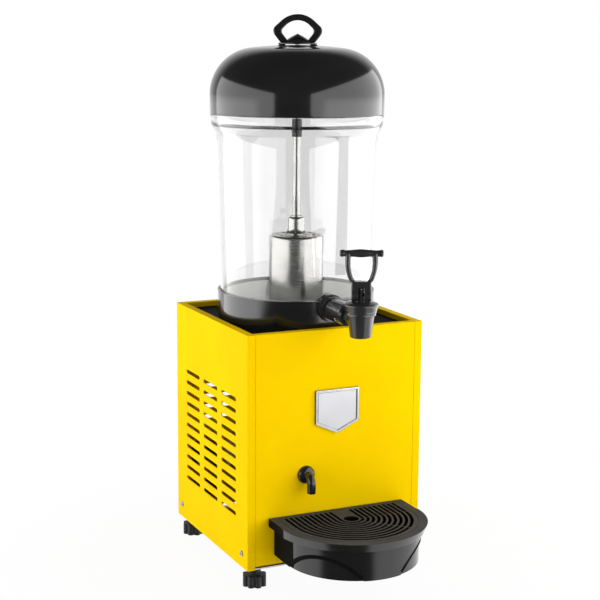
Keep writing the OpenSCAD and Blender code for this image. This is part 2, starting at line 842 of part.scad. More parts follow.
module drip_grille() color(gloss_black) {
    r = tray_r - rim_w - grille_fit;
    first_r = grille_hole_r + 2.5;
    step = (r - 3 - first_r) / grille_slots;
    translate([0, tray_y, tray_top_z - grille_t]) difference() {
        linear_extrude(grille_t) tray_plan(r, r, rim_w / 2 + grille_fit);
        translate([0, -tray_leg, -1]) cylinder(r = grille_hole_r, h = grille_t + 2);
        translate([0, 0, grille_bridge_t]) linear_extrude(grille_t)
            for (k = [0 : grille_slots - 1])
                grille_slot_2d(first_r + k * step);
        translate([0, 0, -1]) linear_extrude(grille_bridge_t + 2) difference() {
            for (k = [0 : grille_slots - 1])
                grille_slot_2d(first_r + k * step);
            for (a = [0, 45, 90, 135, 180])
                translate([0, -tray_leg]) rotate(a) translate([-r, -1.2]) square([r, 2.4]);
        }
    }
}

// Two flat arms on a back plate, which carry the tray under its floor
module tray_arms() color(steel) {
    arm_z = tray_floor_z - tray_wall - arm_gap - support_bar_t;
    plate_t = tray_gap - slide_gap;
    translate([-support_w / 2, front_y - plate_t, arm_z]) cube([support_w, plate_t, support_h]);
    for (x = [-support_x, support_x])
        translate([x - support_bar_w / 2, front_y - plate_t - support_l, arm_z])
            cube([support_bar_w, support_l + plate_t, support_bar_t]);
}

// Jar

module jar_base_ring() color(gloss_black) {
    difference() {
        union() {
            translate([0, axis_y, deck_z]) cylinder(r = ring_r, h = ring_h);
            along_y(0, boss_y, tap_z) cylinder(r = boss_r, h = axis_y - boss_y - jar_r / 2);
        }
        translate([0, axis_y, gasket_z]) cylinder(r = jar_r + jar_fit, h = ring_h + boss_r);
        translate([0, axis_y, deck_z - 1]) cylinder(r = jar_r - ring_floor_w, h = ring_h);
        along_y(0, boss_y - 1, tap_z) cylinder(r = shank_r + panel_fit, h = jar_r);
    }
}

module jar_gasket() color(rubber) {
    translate([0, axis_y, gasket_z]) ring(jar_r, jar_r - ring_floor_w + 4, gasket_t);
}

module jar_pan() color(steel) {
    difference() {
        translate([0, axis_y, jar_z]) cylinder(r = pan_r, h = pan_h);
        translate([0, axis_y, pan_top_z]) cylinder(r = pan_r - pan_t, h = pan_h);
        translate([0, axis_y, jar_z - 1]) cylinder(r = pan_hole_r, h = pan_h);
        along_y(0, axis_y - jar_r, tap_z) cylinder(r = shank_r + panel_fit, h = jar_r / 2);
    }
}

// Outer radius of the jar at height z over its lower edge
function jar_outer_r(z) =
    let (low = jar_h - band_h - flare_h, t = min(1, max(0, (z - low) / flare_h)))
    z <= jar_foot_h ? jar_r
    : z <= low ? jar_r + (jar_top_r - jar_r) * (z - jar_foot_h) / (low - jar_foot_h)
    : jar_top_r + (jar_rim_r - jar_top_r) * (1 - cos(180 * t)) / 2;

module jar() color(clear) {
    low = jar_h - band_h - flare_h;
    curve = [for (k = [0 : 12]) low + flare_h * k / 12];
    outside = concat([[jar_r, 0], [jar_r, jar_foot_h]], [for (z = curve) [jar_outer_r(z), z]],
        [[jar_rim_r, jar_h], [spigot_r, jar_h], [spigot_r, jar_h + spigot_h]]);
    inside = concat([[spigot_r - jar_wall, jar_h + spigot_h]],
        [for (k = [12 : -1 : 0]) [min(jar_outer_r(curve[k]), spigot_r) - jar_wall, curve[k]]],
        [[jar_in_r, jar_foot_h], [jar_in_r, 0]]);
    difference() {
        translate([0, axis_y, jar_z]) rotate_extrude($fn = 96) polygon(concat(outside, inside));
        along_y(0, axis_y - jar_r - 2, tap_z) cylinder(r = shank_r + panel_fit, h = jar_r / 2);
    }
}

// Lid

// Half outline of a domed shell drawn in by b
function dome_points(b) = concat([[lid_r - b, 0]],
    [for (a = [0 : 5 : 90])
        [lid_r - lid_round + (lid_round - b) * cos(a), lid_wall_h + (lid_round - b) * sin(a)]],
    [[crown_flat_r, lid_wall_h + lid_round + lid_crown - b], [0, lid_wall_h + lid_round + lid_crown - b]]);

module lid() color(gloss_black) {
    outside = dome_points(0);
    inside = dome_points(lid_t);
    difference() {
        translate([0, axis_y, lid_z]) rotate_extrude($fn = 96)
            polygon(concat(outside, [for (k = [len(inside) - 1 : -1 : 0]) inside[k]]));
        translate([0, axis_y, lid_top_z - lid_t - 1]) cylinder(r = 2.6, h = lid_t + 2);
    }
}

// Ring handle and a pointed crown on a thin foot plate
module lid_handle() color(gloss_black) {
    first = -handle_foot_angle;
    steps = 40;
    turn = (180 + 2 * handle_foot_angle) / steps;
    low_h = handle_wide_h / sin(handle_foot_angle);
    angles = [for (k = [0 : steps]) first + k * turn];
    path = [for (a = angles) [handle_half_w * cos(a), 0,
        handle_wide_h + sin(a) * (a > 0 && a < 180 ? handle_h - handle_wide_h : low_h)]];
    radii = [for (a = angles) handle_top_r + (handle_bar_r - handle_top_r) * pow(cos(a), 2)];
    translate([0, axis_y, handle_z]) rotate(lid_turn) {
        difference() {
            swept_bar(path, radii, 12, [0, 1, 0]);
            translate([-60, -60, -20]) cube([120, 120, 20]);
        }
        difference() {
            union() {
                translate([0, 0, -handle_plate_t]) cylinder(r = handle_plate_r, h = handle_plate_t);
                rotate_extrude() polygon(concat([[0, -1]],
                    [for (t = [0 : 0.1 : 1]) [crown_r * (1 - pow(t, 2.2)), crown_h * t]]));
            }
            translate([0, 0, -handle_plate_t - 1]) cylinder(r = 2.55, h = handle_plate_t + 6);
        }
    }
}

module handle_screw() color(steel) {
    inner_z = lid_top_z - lid_t;
    translate([0, axis_y, inner_z]) {
        translate([0, 0, -3]) cylinder(r = 5, h = 3);
        cylinder(r = 2.5, h = lid_t + handle_plate_t + 4);
    }
}

// Cooling column

module evaporator_can() color(steel) {
    top = can_h - can_edge;
    outside = concat([[can_r, 0]], [for (a = [0 : 15 : 90])
        [can_r - can_edge + can_edge * cos(a), top + can_edge * sin(a)]]);
    translate([0, axis_y, pan_top_z]) {
        rotate_extrude() polygon(concat(outside, [[0, can_h], [0, can_h - can_t],
            [can_r - can_edge, can_h - can_t], [can_r - can_t, can_h - can_edge], [can_r - can_t, 0]]));
        translate([0, 0, can_h - can_t]) cylinder(r = impeller_pin_r, h = can_t + 9);
    }
}

module evaporator_coil() color(copper) {
    per_turn = 24;
    path = [for (k = [0 : coil_turns * per_turn])
        let (a = -90 + 360 * k / per_turn)
        [coil_r * cos(a), axis_y + coil_r * sin(a), coil_z + coil_pitch * k / per_turn]];
    gaps = [for (k = [0 : len(path) - 1 - per_turn]) norm(path[k + per_turn] - path[k]) - 2 * coil_tube_r];
    echo(least_gap_between_coil_turns = min(gaps));
    swept_bar(path, [for (p = path) coil_tube_r], 6, [0, 0, 1]);
}

module pump_housing() color(steel) {
    flare = [for (t = [0 : 0.2 : 1]) [bell_top_r + (bell_r - bell_top_r) * pow(1 - t, 2), 2 + 6 * t]];
    dome = [for (a = [0 : 15 : 90]) [7 + (bell_top_r - 7) * cos(a), bell_h - 5 + 3.6 * sin(a)]];
    translate([0, axis_y, can_top_z]) difference() {
        rotate_extrude() polygon(concat([[bell_cavity_r, 0], [bell_r, 0]], flare, dome,
            [[7, bell_h], [riser_r + run_fit, bell_h], [riser_r + run_fit, bell_h - 7.2],
            [riser_r - riser_wall, bell_h - 7.2], [riser_r - riser_wall, bell_h - 9.5],
            [bell_cavity_r, bell_h - 9.5]]));
        for (k = [0 : 5])
            rotate(60 * k) translate([0, 0, 4.15]) rotate([0, 90, 0]) cylinder(r = 1.6, h = bell_r + 1);
    }
}

module impeller() color("#e8e8e4") {
    translate([0, axis_y, can_top_z + 0.5]) difference() {
        union() {
            cylinder(r = impeller_r, h = 3);
            cylinder(r = 3.4, h = 10);
            for (k = [0 : 5])
                rotate(60 * k) translate([0, -0.6, 2]) cube([impeller_r - 0.4, 1.2, 7]);
        }
        translate([0, 0, -1]) cylinder(r = impeller_pin_r + run_fit, h = 12);
    }
}

module riser_tube() color(steel) {
    translate([0, axis_y, riser_z]) ring(riser_r, riser_r - riser_wall, riser_top_z - riser_z);
}

module spray_head() color(gloss_black) {
    translate([0, axis_y, 0]) difference() {
        union() {
            translate([0, 0, spray_top_z - spray_l]) cylinder(r = spray_r, h = spray_l);
            translate([0, 0, spray_top_z]) cylinder(r1 = spray_r, r2 = 11, h = 5);
            translate([0, 0, spray_top_z + 5]) cylinder(r = 11, h = 2.5);
        }
        translate([0, 0, spray_top_z - spray_l - 1])
            cylinder(r = riser_r + run_fit, h = riser_top_z - spray_top_z + spray_l + 1.2);
        translate([0, 0, riser_top_z]) cylinder(r = riser_r - riser_wall, h = 9);
        for (k = [0 : 7])
            rotate(45 * k) translate([0, 0, spray_top_z + 3.8]) rotate([0, 80, 0]) cylinder(r = 0.9, h = 14);
    }
}

module pump_motor() color("#8a8d90") {
    translate([0, axis_y, motor_top_z]) difference() {
        union() {
            translate([0, 0, -pump_h]) cylinder(r = pump_r, h = pump_h - 3);
            translate([0, 0, -3]) cylinder(r = pump_r - 3, h = 3);
            translate([0, 0, -pump_h - 4]) cylinder(r = 8, h = 5);
        }
        translate([0, 0, -shaft_in - slide_gap]) cylinder(r = shaft_r + run_fit, h = shaft_in + 1);
    }
}

module motor_bracket() color(steel) {
    translate([0, axis_y, motor_top_z]) difference() {
        union() {
            translate([-post_x - 1.5 * post_r, -bracket_w / 2, 0])
                cube([2 * post_x + 3 * post_r, bracket_w, bracket_t]);
            for (s = [-1, 1])
                translate([s * post_x, 0, 0]) cylinder(r = post_r, h = deck_under_z - motor_top_z);
        }
        translate([0, 0, -1]) cylinder(r = shaft_r + 1, h = bracket_t + 2);
    }
}

module drive_shaft() color(steel) {
    translate([0, axis_y, motor_top_z - shaft_in])
        cylinder(r = shaft_r, h = magnet_z + magnet_h - motor_top_z + shaft_in);
}

module drive_magnet() color("#3a3a3c") {
    translate([0, axis_y, magnet_z]) ring(10, shaft_r, magnet_h);
}

// Tap

module tap_washer() color(rubber) {
    along_y(0, boss_y - washer_t, tap_z) ring(washer_r, shank_r + panel_fit, washer_t);
}

// Flanged barrel with the threaded shank that goes through the jar
module tap_barrel() color(gloss_black) {
    along_y(0, neck_y, tap_z) difference() {
        union() {
            cylinder(r1 = barrel_r - 2.2, r2 = barrel_r, h = 2.2);
            translate([0, 0, 2.2]) cylinder(r = barrel_r, h = barrel_l - 2.2);
            translate([0, 0, barrel_l]) cylinder(r = tap_flange_r, h = tap_flange_t);
            cylinder(r = shank_r, h = lock_seat_y + lock_nut_t + 2 - neck_y);
            translate([0, 0, 10.5]) rotate([0, 90, 156]) cylinder(r = 2.4, h = barrel_r + 0.8);
        }
        translate([0, 0, -1]) cylinder(r = way_r, h = jar_r);
        translate([0, 0, -1]) cylinder(r = neck_r + run_fit - 1.5, h = 11);
    }
}

module tap_lock_nut() color(gloss_black) {
    along_y(0, lock_seat_y, tap_z) rotate(30) difference() {
        cylinder(r = lock_nut_r, h = lock_nut_t, $fn = 6);
        translate([0, 0, -1]) cylinder(r = shank_r + run_fit, h = lock_nut_t + 2);
    }
}

// Tap body: a tapered spout with a threaded top, and a neck that goes into the barrel
module tap_body() color(gloss_black) {
    taper = cup_z - 3 - spout_z;
    difference() {
        union() {
            translate([0, tap_y, spout_z]) cylinder(r1 = spout_r, r2 = cup_r, h = taper);
            translate([0, tap_y, cup_z - 3]) cylinder(r = cup_r + 1.6, h = 3);
            translate([0, tap_y, cup_z]) cylinder(r = thread_r, h = thread_h);
            along_y(0, tap_y, tap_z - 1) cylinder(r = neck_r, h = neck_y - tap_y);
            along_y(0, tap_y, tap_z) cylinder(r = neck_r - 1.5, h = neck_y - tap_y + 9);
        }
        translate([0, tap_y, seat_z]) cylinder(r = chamber_r, h = cup_z + thread_h - seat_z + 1);
        translate([0, tap_y, spout_z - 1]) cylinder(r = seat_r, h = 12);
        along_y(0, tap_y, tap_z) cylinder(r = way_r - 1, h = neck_y - tap_y + 10);
    }
}

module tap_bonnet() color(gloss_black) {
    z = cup_z + 0.2;
    inner_r = thread_r + run_fit;
    top = bonnet_top_z - z;
    translate([0, tap_y, z]) rotate_extrude() polygon([[inner_r, 0], [cup_r + 2.2, 0],
        [cup_r + 2.2, 2.4], [cup_r + 3, 2.8], [bonnet_r, top - 4.2], [bonnet_r, top - 3],
        [bonnet_r - 1, top - 2.2], [bonnet_flat_r, top], [stem_r + run_fit, top],
        [stem_r + run_fit, thread_h + 0.4], [inner_r, thread_h + 0.4]]);
}

module tap_stem() color("#d8d8d4") {
    translate([0, tap_y, 0]) difference() {
        translate([0, 0, seat_z + 5]) cylinder(r = stem_r, h = pin_z + 4 - seat_z - 5);
        translate([0, 0, pin_z]) rotate(lever_turn) rotate([0, 90, 0])
            cylinder(r = pin_r + run_fit, h = 20, center = true);
    }
}

module tap_seal() color("#e6e6e0") {
    translate([0, tap_y, seat_z + 0.3]) difference() {
        union() {
            cylinder(r1 = seal_r - 2, r2 = seal_r, h = 2.5);
            translate([0, 0, 2.5]) cylinder(r = seal_r, h = 3);
            translate([0, 0, 5.5]) cylinder(r1 = seal_r, r2 = 5, h = 4);
        }
        translate([0, 0, 4.7]) cylinder(r = stem_r, h = 6);
    }
}

// Half width of the lever's outline at the share t of the arms' height
function arms_half(t) = fork_w / 2 + (arms_half_w - fork_w / 2) * sin(90 * min(1, t / 0.75));

// Lever: a forked foot with a rounded cam, two curved arms and a T-bar
module tap_handle() color(gloss_black) {
    top_z2 = window_h + bar_r;
    steps = 12;
    outline = [for (k = [0 : steps]) [arms_half(k / steps), top_z2 * k / steps]];
    inner = [for (k = [0 : steps]) [arms_half(k / steps) - arm_w * (0.5 + 0.5 * k / steps) - 1, top_z2 * k / steps]];
    translate([0, tap_y, 0]) rotate(lever_turn) {
        difference() {
            on_side(-fork_w / 2) linear_extrude(fork_w) {
                for (s = [-1, 1])
                    translate([s * cam_flat, pin_z]) circle(r = cam_r);
                translate([-cam_flat, pin_z - cam_r]) square([2 * cam_flat, 2 * cam_r]);
                translate([-cam_r, pin_z]) square([2 * cam_r, fork_h]);
            }
            translate([-slot_gap, -20, pin_z - cam_r - 1]) cube([2 * slot_gap, 40, cam_r + 1 + 9]);
            translate([-fork_w, 0, pin_z]) rotate([0, 90, 0]) cylinder(r = pin_r + run_fit / 2, h = 2 * fork_w);
        }
        translate([0, arm_t / 2, window_z]) rotate([90, 0, 0]) linear_extrude(arm_t)
            for (s = [0, 1])
                mirror([s, 0]) polygon(concat(outline, [for (k = [steps : -1 : 0]) inner[k]]));
        translate([-bar_l / 2, 0, bar_z]) rotate([0, 90, 0]) rotate_extrude()
            polygon(concat([[0, 0]], [for (k = [0 : 40]) let (u = k / 40, e = min(u, 1 - u) * bar_l)
                [(e < 3 ? sqrt(max(0, 1 - pow(1 - e / 3, 2))) : 1)
                    * (bar_r + 0.7 * pow(cos(360 * u), 2)), u * bar_l]], [[0, bar_l]]));
    }
}

module tap_pin() color(steel) {
    translate([0, tap_y, pin_z]) rotate(lever_turn) rotate([0, 90, 0])
        cylinder(r = pin_r, h = fork_w, center = true);
}

// Cooling unit

module grommet_places() {
    for (sx = [-1, 1])
        for (sy = [-1, 1])
            translate([comp_x + sx * (plate_w / 2 - grommet_r), comp_y + sy * (plate_d / 2 - grommet_r), floor_z])
                children();
}

suction_at = [comp_x - 20, comp_y + 14, comp_top_z + 6];
discharge_at = [comp_x + 20, comp_y + 14, comp_top_z + 6];

module compressor() color("#26272a") {
    dome = 26;
    translate([comp_x, comp_y, comp_z]) {
        translate([-plate_w / 2, -plate_d / 2, 0]) cube([plate_w, plate_d, 3]);
        translate([0, 0, 3]) rotate_extrude() polygon(concat([[0, 0], [comp_r - 10, 0], [comp_r, 10]],
            [for (a = [0 : 10 : 90]) [comp_r * cos(a), comp_h - dome + dome * sin(a)]]));
    }
    for (p = [suction_at, discharge_at])
        translate([p[0], p[1], comp_top_z - dome]) cylinder(r = pipe_r + 1.2, h = dome + 6);
}

module compressor_grommets() color(rubber) {
    grommet_places() cylinder(r = grommet_r, h = grommet_h);
}

module relay_cover() color(gloss_black) {
    difference() {
        translate([comp_x - comp_r - 16, comp_y - 18, comp_z + 26]) cube([30, 36, 46]);
        translate([comp_x, comp_y, comp_z]) cylinder(r = comp_r + 0.2, h = comp_h);
    }
}

module condenser() color("#9da0a3") {
    translate([cond_x, cond_y, 0]) {
        for (k = [0 : cond_fins - 1])
            translate([-cond_w / 2 + k * (cond_w - 0.8) / (cond_fins - 1), 0, cond_z]) cube([0.8, cond_d, cond_h]);
        for (x = [-cond_w / 2 - cond_rim, cond_w / 2 + cond_rim - end_plate_t])
            translate([x, 0, floor_z]) cube([end_plate_t, cond_d, cond_h + cond_z - floor_z]);
        for (k = [0 : cond_passes - 1])
            translate([-cond_w / 2 - cond_tail, cond_d / 2, cond_first_z + k * cond_step]) rotate([0, 90, 0])
                cylinder(r = cond_tube_r, h = cond_w + 2 * cond_tail);
        for (k = [0 : cond_passes - 2])
            let (s = k % 2 == 0 ? 1 : -1)
            translate([s * (cond_w / 2 + cond_tail), cond_d / 2, cond_first_z + (k + 0.5) * cond_step])
                rotate([90, 0, 0]) rotate(-90 * s) rotate_extrude(angle = 180)
                translate([cond_step / 2, 0]) circle(r = cond_tube_r);
    }
}

module fan_shroud() color(gloss_black) {
    w = cond_w + 2 * cond_rim;
    plate_y = cond_y - shroud_t;
    difference() {
        union() {
            translate([cond_x - w / 2, plate_y, cond_z]) cube([w, shroud_t, cond_h]);
            along_y(cond_x, plate_y - shroud_l, fan_z) cylinder(r = shroud_r + 1.5, h = shroud_l);
        }
        along_y(cond_x, plate_y - shroud_l - 1, fan_z) cylinder(r = shroud_r, h = shroud_l + 4);
    }
    along_y(cond_x, plate_y - shroud_l, fan_z) difference() {
        union() {
            cylinder(r = fan_motor_r + 2, h = fan_arm_t);
            for (a = [45, 135])
                rotate(a) translate([-shroud_r - 0.5, -4, 0]) cube([2 * shroud_r + 1, 8, fan_arm_t]);
        }
        translate([0, 0, -1]) cylinder(r = fan_shaft_r + 0.6, h = fan_arm_t + 2);
    }
}

fan_arm_y = cond_y - shroud_t - shroud_l;

module fan_motor() color("#6f7376") {
    along_y(cond_x, fan_arm_y - fan_motor_l, fan_z) difference() {
        union() {
            translate([0, 0, 2]) cylinder(r = fan_motor_r, h = fan_motor_l - 2);
            cylinder(r = fan_motor_r - 5, h = 3);
        }
        translate([0, 0, fan_motor_l - shaft_in - slide_gap])
            cylinder(r = fan_shaft_r + run_fit, h = shaft_in + 1);
    }
}

module fan_blades_hub() color("#2e3033") {
    along_y(cond_x, fan_arm_y, fan_z) {
        translate([0, 0, -shaft_in]) cylinder(r = fan_shaft_r, h = shaft_in + fan_arm_t + 2);
        translate([0, 0, fan_arm_t + 1]) cylinder(r = fan_hub_r, h = fan_hub_l);
        for (k = [0 : fan_blades - 1])
            rotate(360 * k / fan_blades)
                translate([fan_hub_r - 2, 0, fan_arm_t + 1 + fan_hub_l / 2]) rotate([35, 0, 0])
                translate([0, -0.26 * fan_r, -0.7]) cube([fan_r - fan_hub_r + 1, 0.52 * fan_r, 1.4]);
    }
}

module filter_drier() color(copper) {
    translate([drier_x, drier_y, drier_z]) rotate_extrude()
        polygon([[0, 0], [pipe_r + 0.6, 0], [pipe_r + 0.6, 6], [drier_r, 14], [drier_r, drier_l - 14],
            [pipe_r + 0.6, drier_l - 6], [pipe_r + 0.6, drier_l], [0, drier_l]]);
}

// Suction, discharge, liquid and capillary lines
module refrigerant_pipes() color(copper) {
    coil_low = [0, axis_y - coil_r, coil_z - coil_tube_r];
    out_z = deck_under_z - 7;
    last_z = cond_first_z + (cond_passes - 1) * cond_step;
    cond_in = [cond_x + cond_w / 2 + cond_tail, cond_y + cond_d / 2, last_z];
    cond_out = [cond_x - cond_w / 2 - cond_tail, cond_y + cond_d / 2, cond_first_z];
    gap = 0.3;
    pipe(concat([suction_at + [0, 0, gap]], route([suction_at + [0, 0, 4], suction_at + [0, 0, 14],
        [comp_x - 22, comp_y + 14, out_z - 16], [10, axis_y - coil_r - 12, out_z - 3],
        [3, axis_y - coil_r - 2, out_z + 5], coil_low - [0, 0, 9], coil_low - [0, 0, 3]], 4),
        [coil_low - [0, 0, gap]]), pipe_r - 0.4, [0.66, 0.63, 0.41]);
    pipe(concat([discharge_at + [0, 0, gap]], route([discharge_at + [0, 0, 4], discharge_at + [0, 0, 12],
        discharge_at + [6, 16, 22], cond_in + [6, -30, 16], cond_in + [8, -8, 4], cond_in + [4.5, 0, 0]], 4),
        [cond_in + [gap, 0, 0]]), pipe_r - 0.6, [0.6, -0.53, -0.6]);
    pipe(concat([cond_out - [gap, 0, 0]], route([cond_out - [5, 0, 0], cond_out - [12, 4, 1],
        [drier_x + 4, drier_y + 12, drier_z - 22], [drier_x, drier_y + 1, drier_z - 12],
        [drier_x, drier_y, drier_z - 5]], 4), [[drier_x, drier_y, drier_z - gap]]),
        pipe_r - 0.6, [-0.57, 0.58, 0.58]);
    drier_top = [drier_x, drier_y, drier_z + drier_l];
    pipe(concat([drier_top + [0, 0, gap]], route([drier_top + [0, 0, 4], drier_top + [0, 0, 16],
        [-22, axis_y + 30, out_z - 14], [-8, axis_y + 20, out_z + 8], [0, axis_y + 14, out_z + 22],
        [0, axis_y + 13, coil_z + 20], [0, axis_y + 13, coil_top_z - 6], [0, axis_y + 15, coil_top_z - 1],
        [0, axis_y + coil_r - coil_tube_r - 3, coil_top_z]], 4),
        [[0, axis_y + coil_r - coil_tube_r - gap, coil_top_z]]), 1.5, [0.94, 0.26, -0.2]);
}

// Controls on the back

module thermostat() color("#d9d9d6") {
    translate([-thermo_x, back_y - sheet, switch_z]) difference() {
        translate([-thermo_w / 2, -thermo_depth, -thermo_h / 2]) cube([thermo_w, thermo_depth, thermo_h]);
        along_y(0, -12.3, 0) cylinder(r = thermo_shaft_r + run_fit, h = 14);
    }
}

module thermostat_knob() color(gloss_black) {
    along_y(-thermo_x, back_y, switch_z) {
        translate([0, 0, -sheet - 12]) cylinder(r = thermo_shaft_r, h = sheet + 14);
        translate([0, 0, slide_gap]) linear_extrude(4) circle(r = knob_r);
        translate([0, 0, 4]) linear_extrude(knob_out - 4.8) {
            circle(r = knob_r - 3.4);
            for (k = [0 : 11])
                rotate(30 * k) translate([knob_r - 3.4, 0]) circle(r = 1.4);
        }
        translate([-1.2, -knob_r + 4, knob_out - 1]) cube([2.4, knob_r - 4, 1]);
    }
}

rocker_gap = 0.4;
rocker_step = rocker_w + 2 * rocker_gap + 2.4;
rocker_room = sqrt(pow(rocker_h / 2, 2) + 36) + rocker_gap;

// Place of the rocker on the side s of the switch
module rocker_place(s) translate([-control_x + s * rocker_step / 2, rocker_y, switch_z]) children();

module switch_frame() color(gloss_black) {
    difference() {
        union() {
            translate([-control_x, back_y - switch_depth, switch_z])
                translate([-switch_w / 2, 0, -switch_h / 2]) cube([switch_w, switch_depth, switch_h]);
            translate([-control_x, back_y, switch_z])
                translate([-switch_w / 2 - 2, 0, -switch_h / 2 - 2]) cube([switch_w + 4, 2.5, switch_h + 4]);
        }
        for (s = [-1, 1]) rocker_place(s) {
            translate([-rocker_w / 2 - rocker_gap, -8, -rocker_room])
                cube([rocker_w + 2 * rocker_gap, 20, 2 * rocker_room]);
            translate([-rocker_w / 2 - rocker_gap - 0.7, 0, 0]) rotate([0, 90, 0])
                cylinder(r = rocker_pin_r + run_fit, h = rocker_w + 2 * rocker_gap + 1.4);
        }
    }
}

module rocker() {
    rotate([-rocker_tilt, 0, 0]) {
        translate([-rocker_w / 2, -4, -rocker_h / 2]) cube([rocker_w, 9.5, rocker_h]);
    }
    translate([-rocker_w / 2 - rocker_gap - 0.6, 0, 0]) rotate([0, 90, 0])
        cylinder(r = rocker_pin_r, h = rocker_w + 2 * rocker_gap + 1.2);
}

module power_rocker() color("#b3261e") rocker_place(-1) rocker();

module pump_rocker() color(gloss_black) rocker_place(1) rocker();

module mains_inlet() color(gloss_black) {
    translate([-control_x, back_y, inlet_z]) {
        difference() {
            union() {
                translate([-inlet_w / 2, -inlet_depth, -inlet_h / 2]) cube([inlet_w, inlet_depth, inlet_h]);
                translate([-inlet_w / 2 - 2, 0, -inlet_h / 2 - 2]) cube([inlet_w + 4, 3, inlet_h + 4]);
            }
            translate([-inlet_w / 2 + 1.5, -inlet_depth + 2.5, -inlet_h / 2 + 1.5])
                cube([inlet_w - 3, inlet_depth + 4, inlet_h - 3]);
        }
        for (p = [[-7, -1.5], [0, 2.5], [7, -1.5]])
            translate([p[0] - 1, -inlet_depth + 2, p[1] - 2]) cube([2, 11, 4]);
    }
}

base_plate();
left_side_panel();
right_side_panel();
front_panel();
back_panel();
top_deck();
panel_screws();
foot_nuts();
foot_front_left();
foot_front_right();
foot_back_left();
foot_back_right();
badge_plate();
drain_elbow();
drain_nut();
drain_hose();
tray_arms();
drip_tray();
drip_grille();
jar_base_ring();
jar_gasket();
jar_pan();
jar();
evaporator_can();
evaporator_coil();
pump_housing();
impeller();
riser_tube();
spray_head();
pump_motor();
motor_bracket();
drive_shaft();
drive_magnet();
lid();
lid_handle();
handle_screw();
tap_washer();
tap_barrel();
tap_lock_nut();
tap_body();
tap_bonnet();
tap_stem();
tap_seal();
tap_handle();
tap_pin();
compressor();
compressor_grommets();
relay_cover();
condenser();
fan_shroud();
fan_motor();
fan_blades_hub();
filter_drier();
refrigerant_pipes();
thermostat();
thermostat_knob();
switch_frame();
power_rocker();
pump_rocker();
mains_inlet();
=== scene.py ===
"""Dresses the drink dispenser: its visible pieces, their finishes and the studio round them."""
from __future__ import annotations

import json
import logging
import math
from collections.abc import Callable, Sequence
from dataclasses import dataclass
from enum import Enum

import bpy
from mathutils import Matrix, Vector

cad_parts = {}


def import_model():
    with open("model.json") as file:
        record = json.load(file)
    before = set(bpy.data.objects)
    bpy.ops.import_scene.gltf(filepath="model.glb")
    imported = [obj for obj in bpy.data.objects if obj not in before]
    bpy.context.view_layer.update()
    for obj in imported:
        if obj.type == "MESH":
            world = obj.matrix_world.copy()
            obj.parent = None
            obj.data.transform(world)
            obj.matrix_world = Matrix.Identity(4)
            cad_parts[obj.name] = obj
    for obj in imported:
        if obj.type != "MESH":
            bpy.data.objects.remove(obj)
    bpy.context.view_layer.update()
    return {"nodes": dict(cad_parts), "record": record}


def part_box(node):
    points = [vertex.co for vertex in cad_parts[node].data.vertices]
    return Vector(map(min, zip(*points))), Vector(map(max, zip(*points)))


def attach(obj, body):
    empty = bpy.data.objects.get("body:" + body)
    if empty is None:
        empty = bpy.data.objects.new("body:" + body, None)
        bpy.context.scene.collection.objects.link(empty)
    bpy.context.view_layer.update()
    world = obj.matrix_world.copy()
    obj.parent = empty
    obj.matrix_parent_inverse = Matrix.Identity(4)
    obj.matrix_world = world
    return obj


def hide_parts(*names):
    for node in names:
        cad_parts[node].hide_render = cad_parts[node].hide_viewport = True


LOG = logging.getLogger("dispenser")
MM = 0.001
# Distance in millimetres within which two places count as one.
NEAR = 0.05
# Distance in millimetres within which doubled points are merged.
MERGE = 0.002
# Cosine above which a direction counts as lying along an axis.
STRAIGHT = 0.99
# Noise values between which a finish goes from its main to its second tone.
TONE_SPAN = (0.35, 0.65)
# Noise values between which a finish goes from its glossiest to its dullest.
GLOSS_SPAN = (0.3, 0.7)

Outline = list[tuple[float, float]]
Corners = Sequence[tuple[float, float, float]]
Place = tuple[float, float, float]
Nodes = dict[str, bpy.types.Object]


class Pick(Enum):
    """What an edit-mode selection is made of."""

    POINTS = "VERT"
    EDGES = "EDGE"
    FACES = "FACE"


class Axis(Enum):
    """Where a turned piece's own axis points, as turns about X, Y and Z."""

    UP = (0.0, 0.0, 0.0)
    FRONT = (math.pi / 2, 0.0, 0.0)
    BACK = (-math.pi / 2, 0.0, 0.0)
    LEFT = (0.0, -math.pi / 2, 0.0)
    RIGHT = (0.0, math.pi / 2, 0.0)


class Grain(Enum):
    """How a surface was made, as the stretch of its fine pattern in X, Y and Z."""

    EVEN = (1.0, 1.0, 1.0)
    TURNED = (0.03, 0.03, 1.0)
    DRAWN = (1.0, 1.0, 0.03)
    FINNED = (1.0, 0.02, 0.02)


def colour(code: str) -> tuple[float, float, float, float]:
    """Turns an sRGB hex value into linear colour.

    Args:
        code: A hash sign and six hex digits.

    Returns:
        Linear red, green and blue, and an alpha of one.
    """
    parts = [int(code[i:i + 2], 16) / 255 for i in (1, 3, 5)]
    red, green, blue = (c / 12.92 if c <= 0.04045 else ((c + 0.055) / 1.055) ** 2.4 for c in parts)
    return red, green, blue, 1.0


def blank(data: bpy.types.Material | bpy.types.World) -> bpy.types.NodeTree:
    """Empties the node tree of a new material or world.

    Args:
        data: The material or world.

    Returns:
        Its node tree.
    """
    data.use_nodes = True
    data.node_tree.nodes.clear()
    return data.node_tree


def add_node(tree: bpy.types.NodeTree, kind: str, inputs: dict | None = None,
             **settings: object) -> bpy.types.Node:
    """Adds a node, sets it up and links it.

    Args:
        tree: The node tree that takes the node.
        kind: The node's type name.
        inputs: Values or sockets for its inputs, by name or number.
        settings: The node's own properties.

    Returns:
        The new node.
    """
    node = tree.nodes.new(kind)
    for name, value in settings.items():
        setattr(node, name, value)
    for name, value in (inputs or {}).items():
        if isinstance(value, bpy.types.NodeSocket):
            tree.links.new(value, node.inputs[name])
        else:
            node.inputs[name].default_value = value
    return node


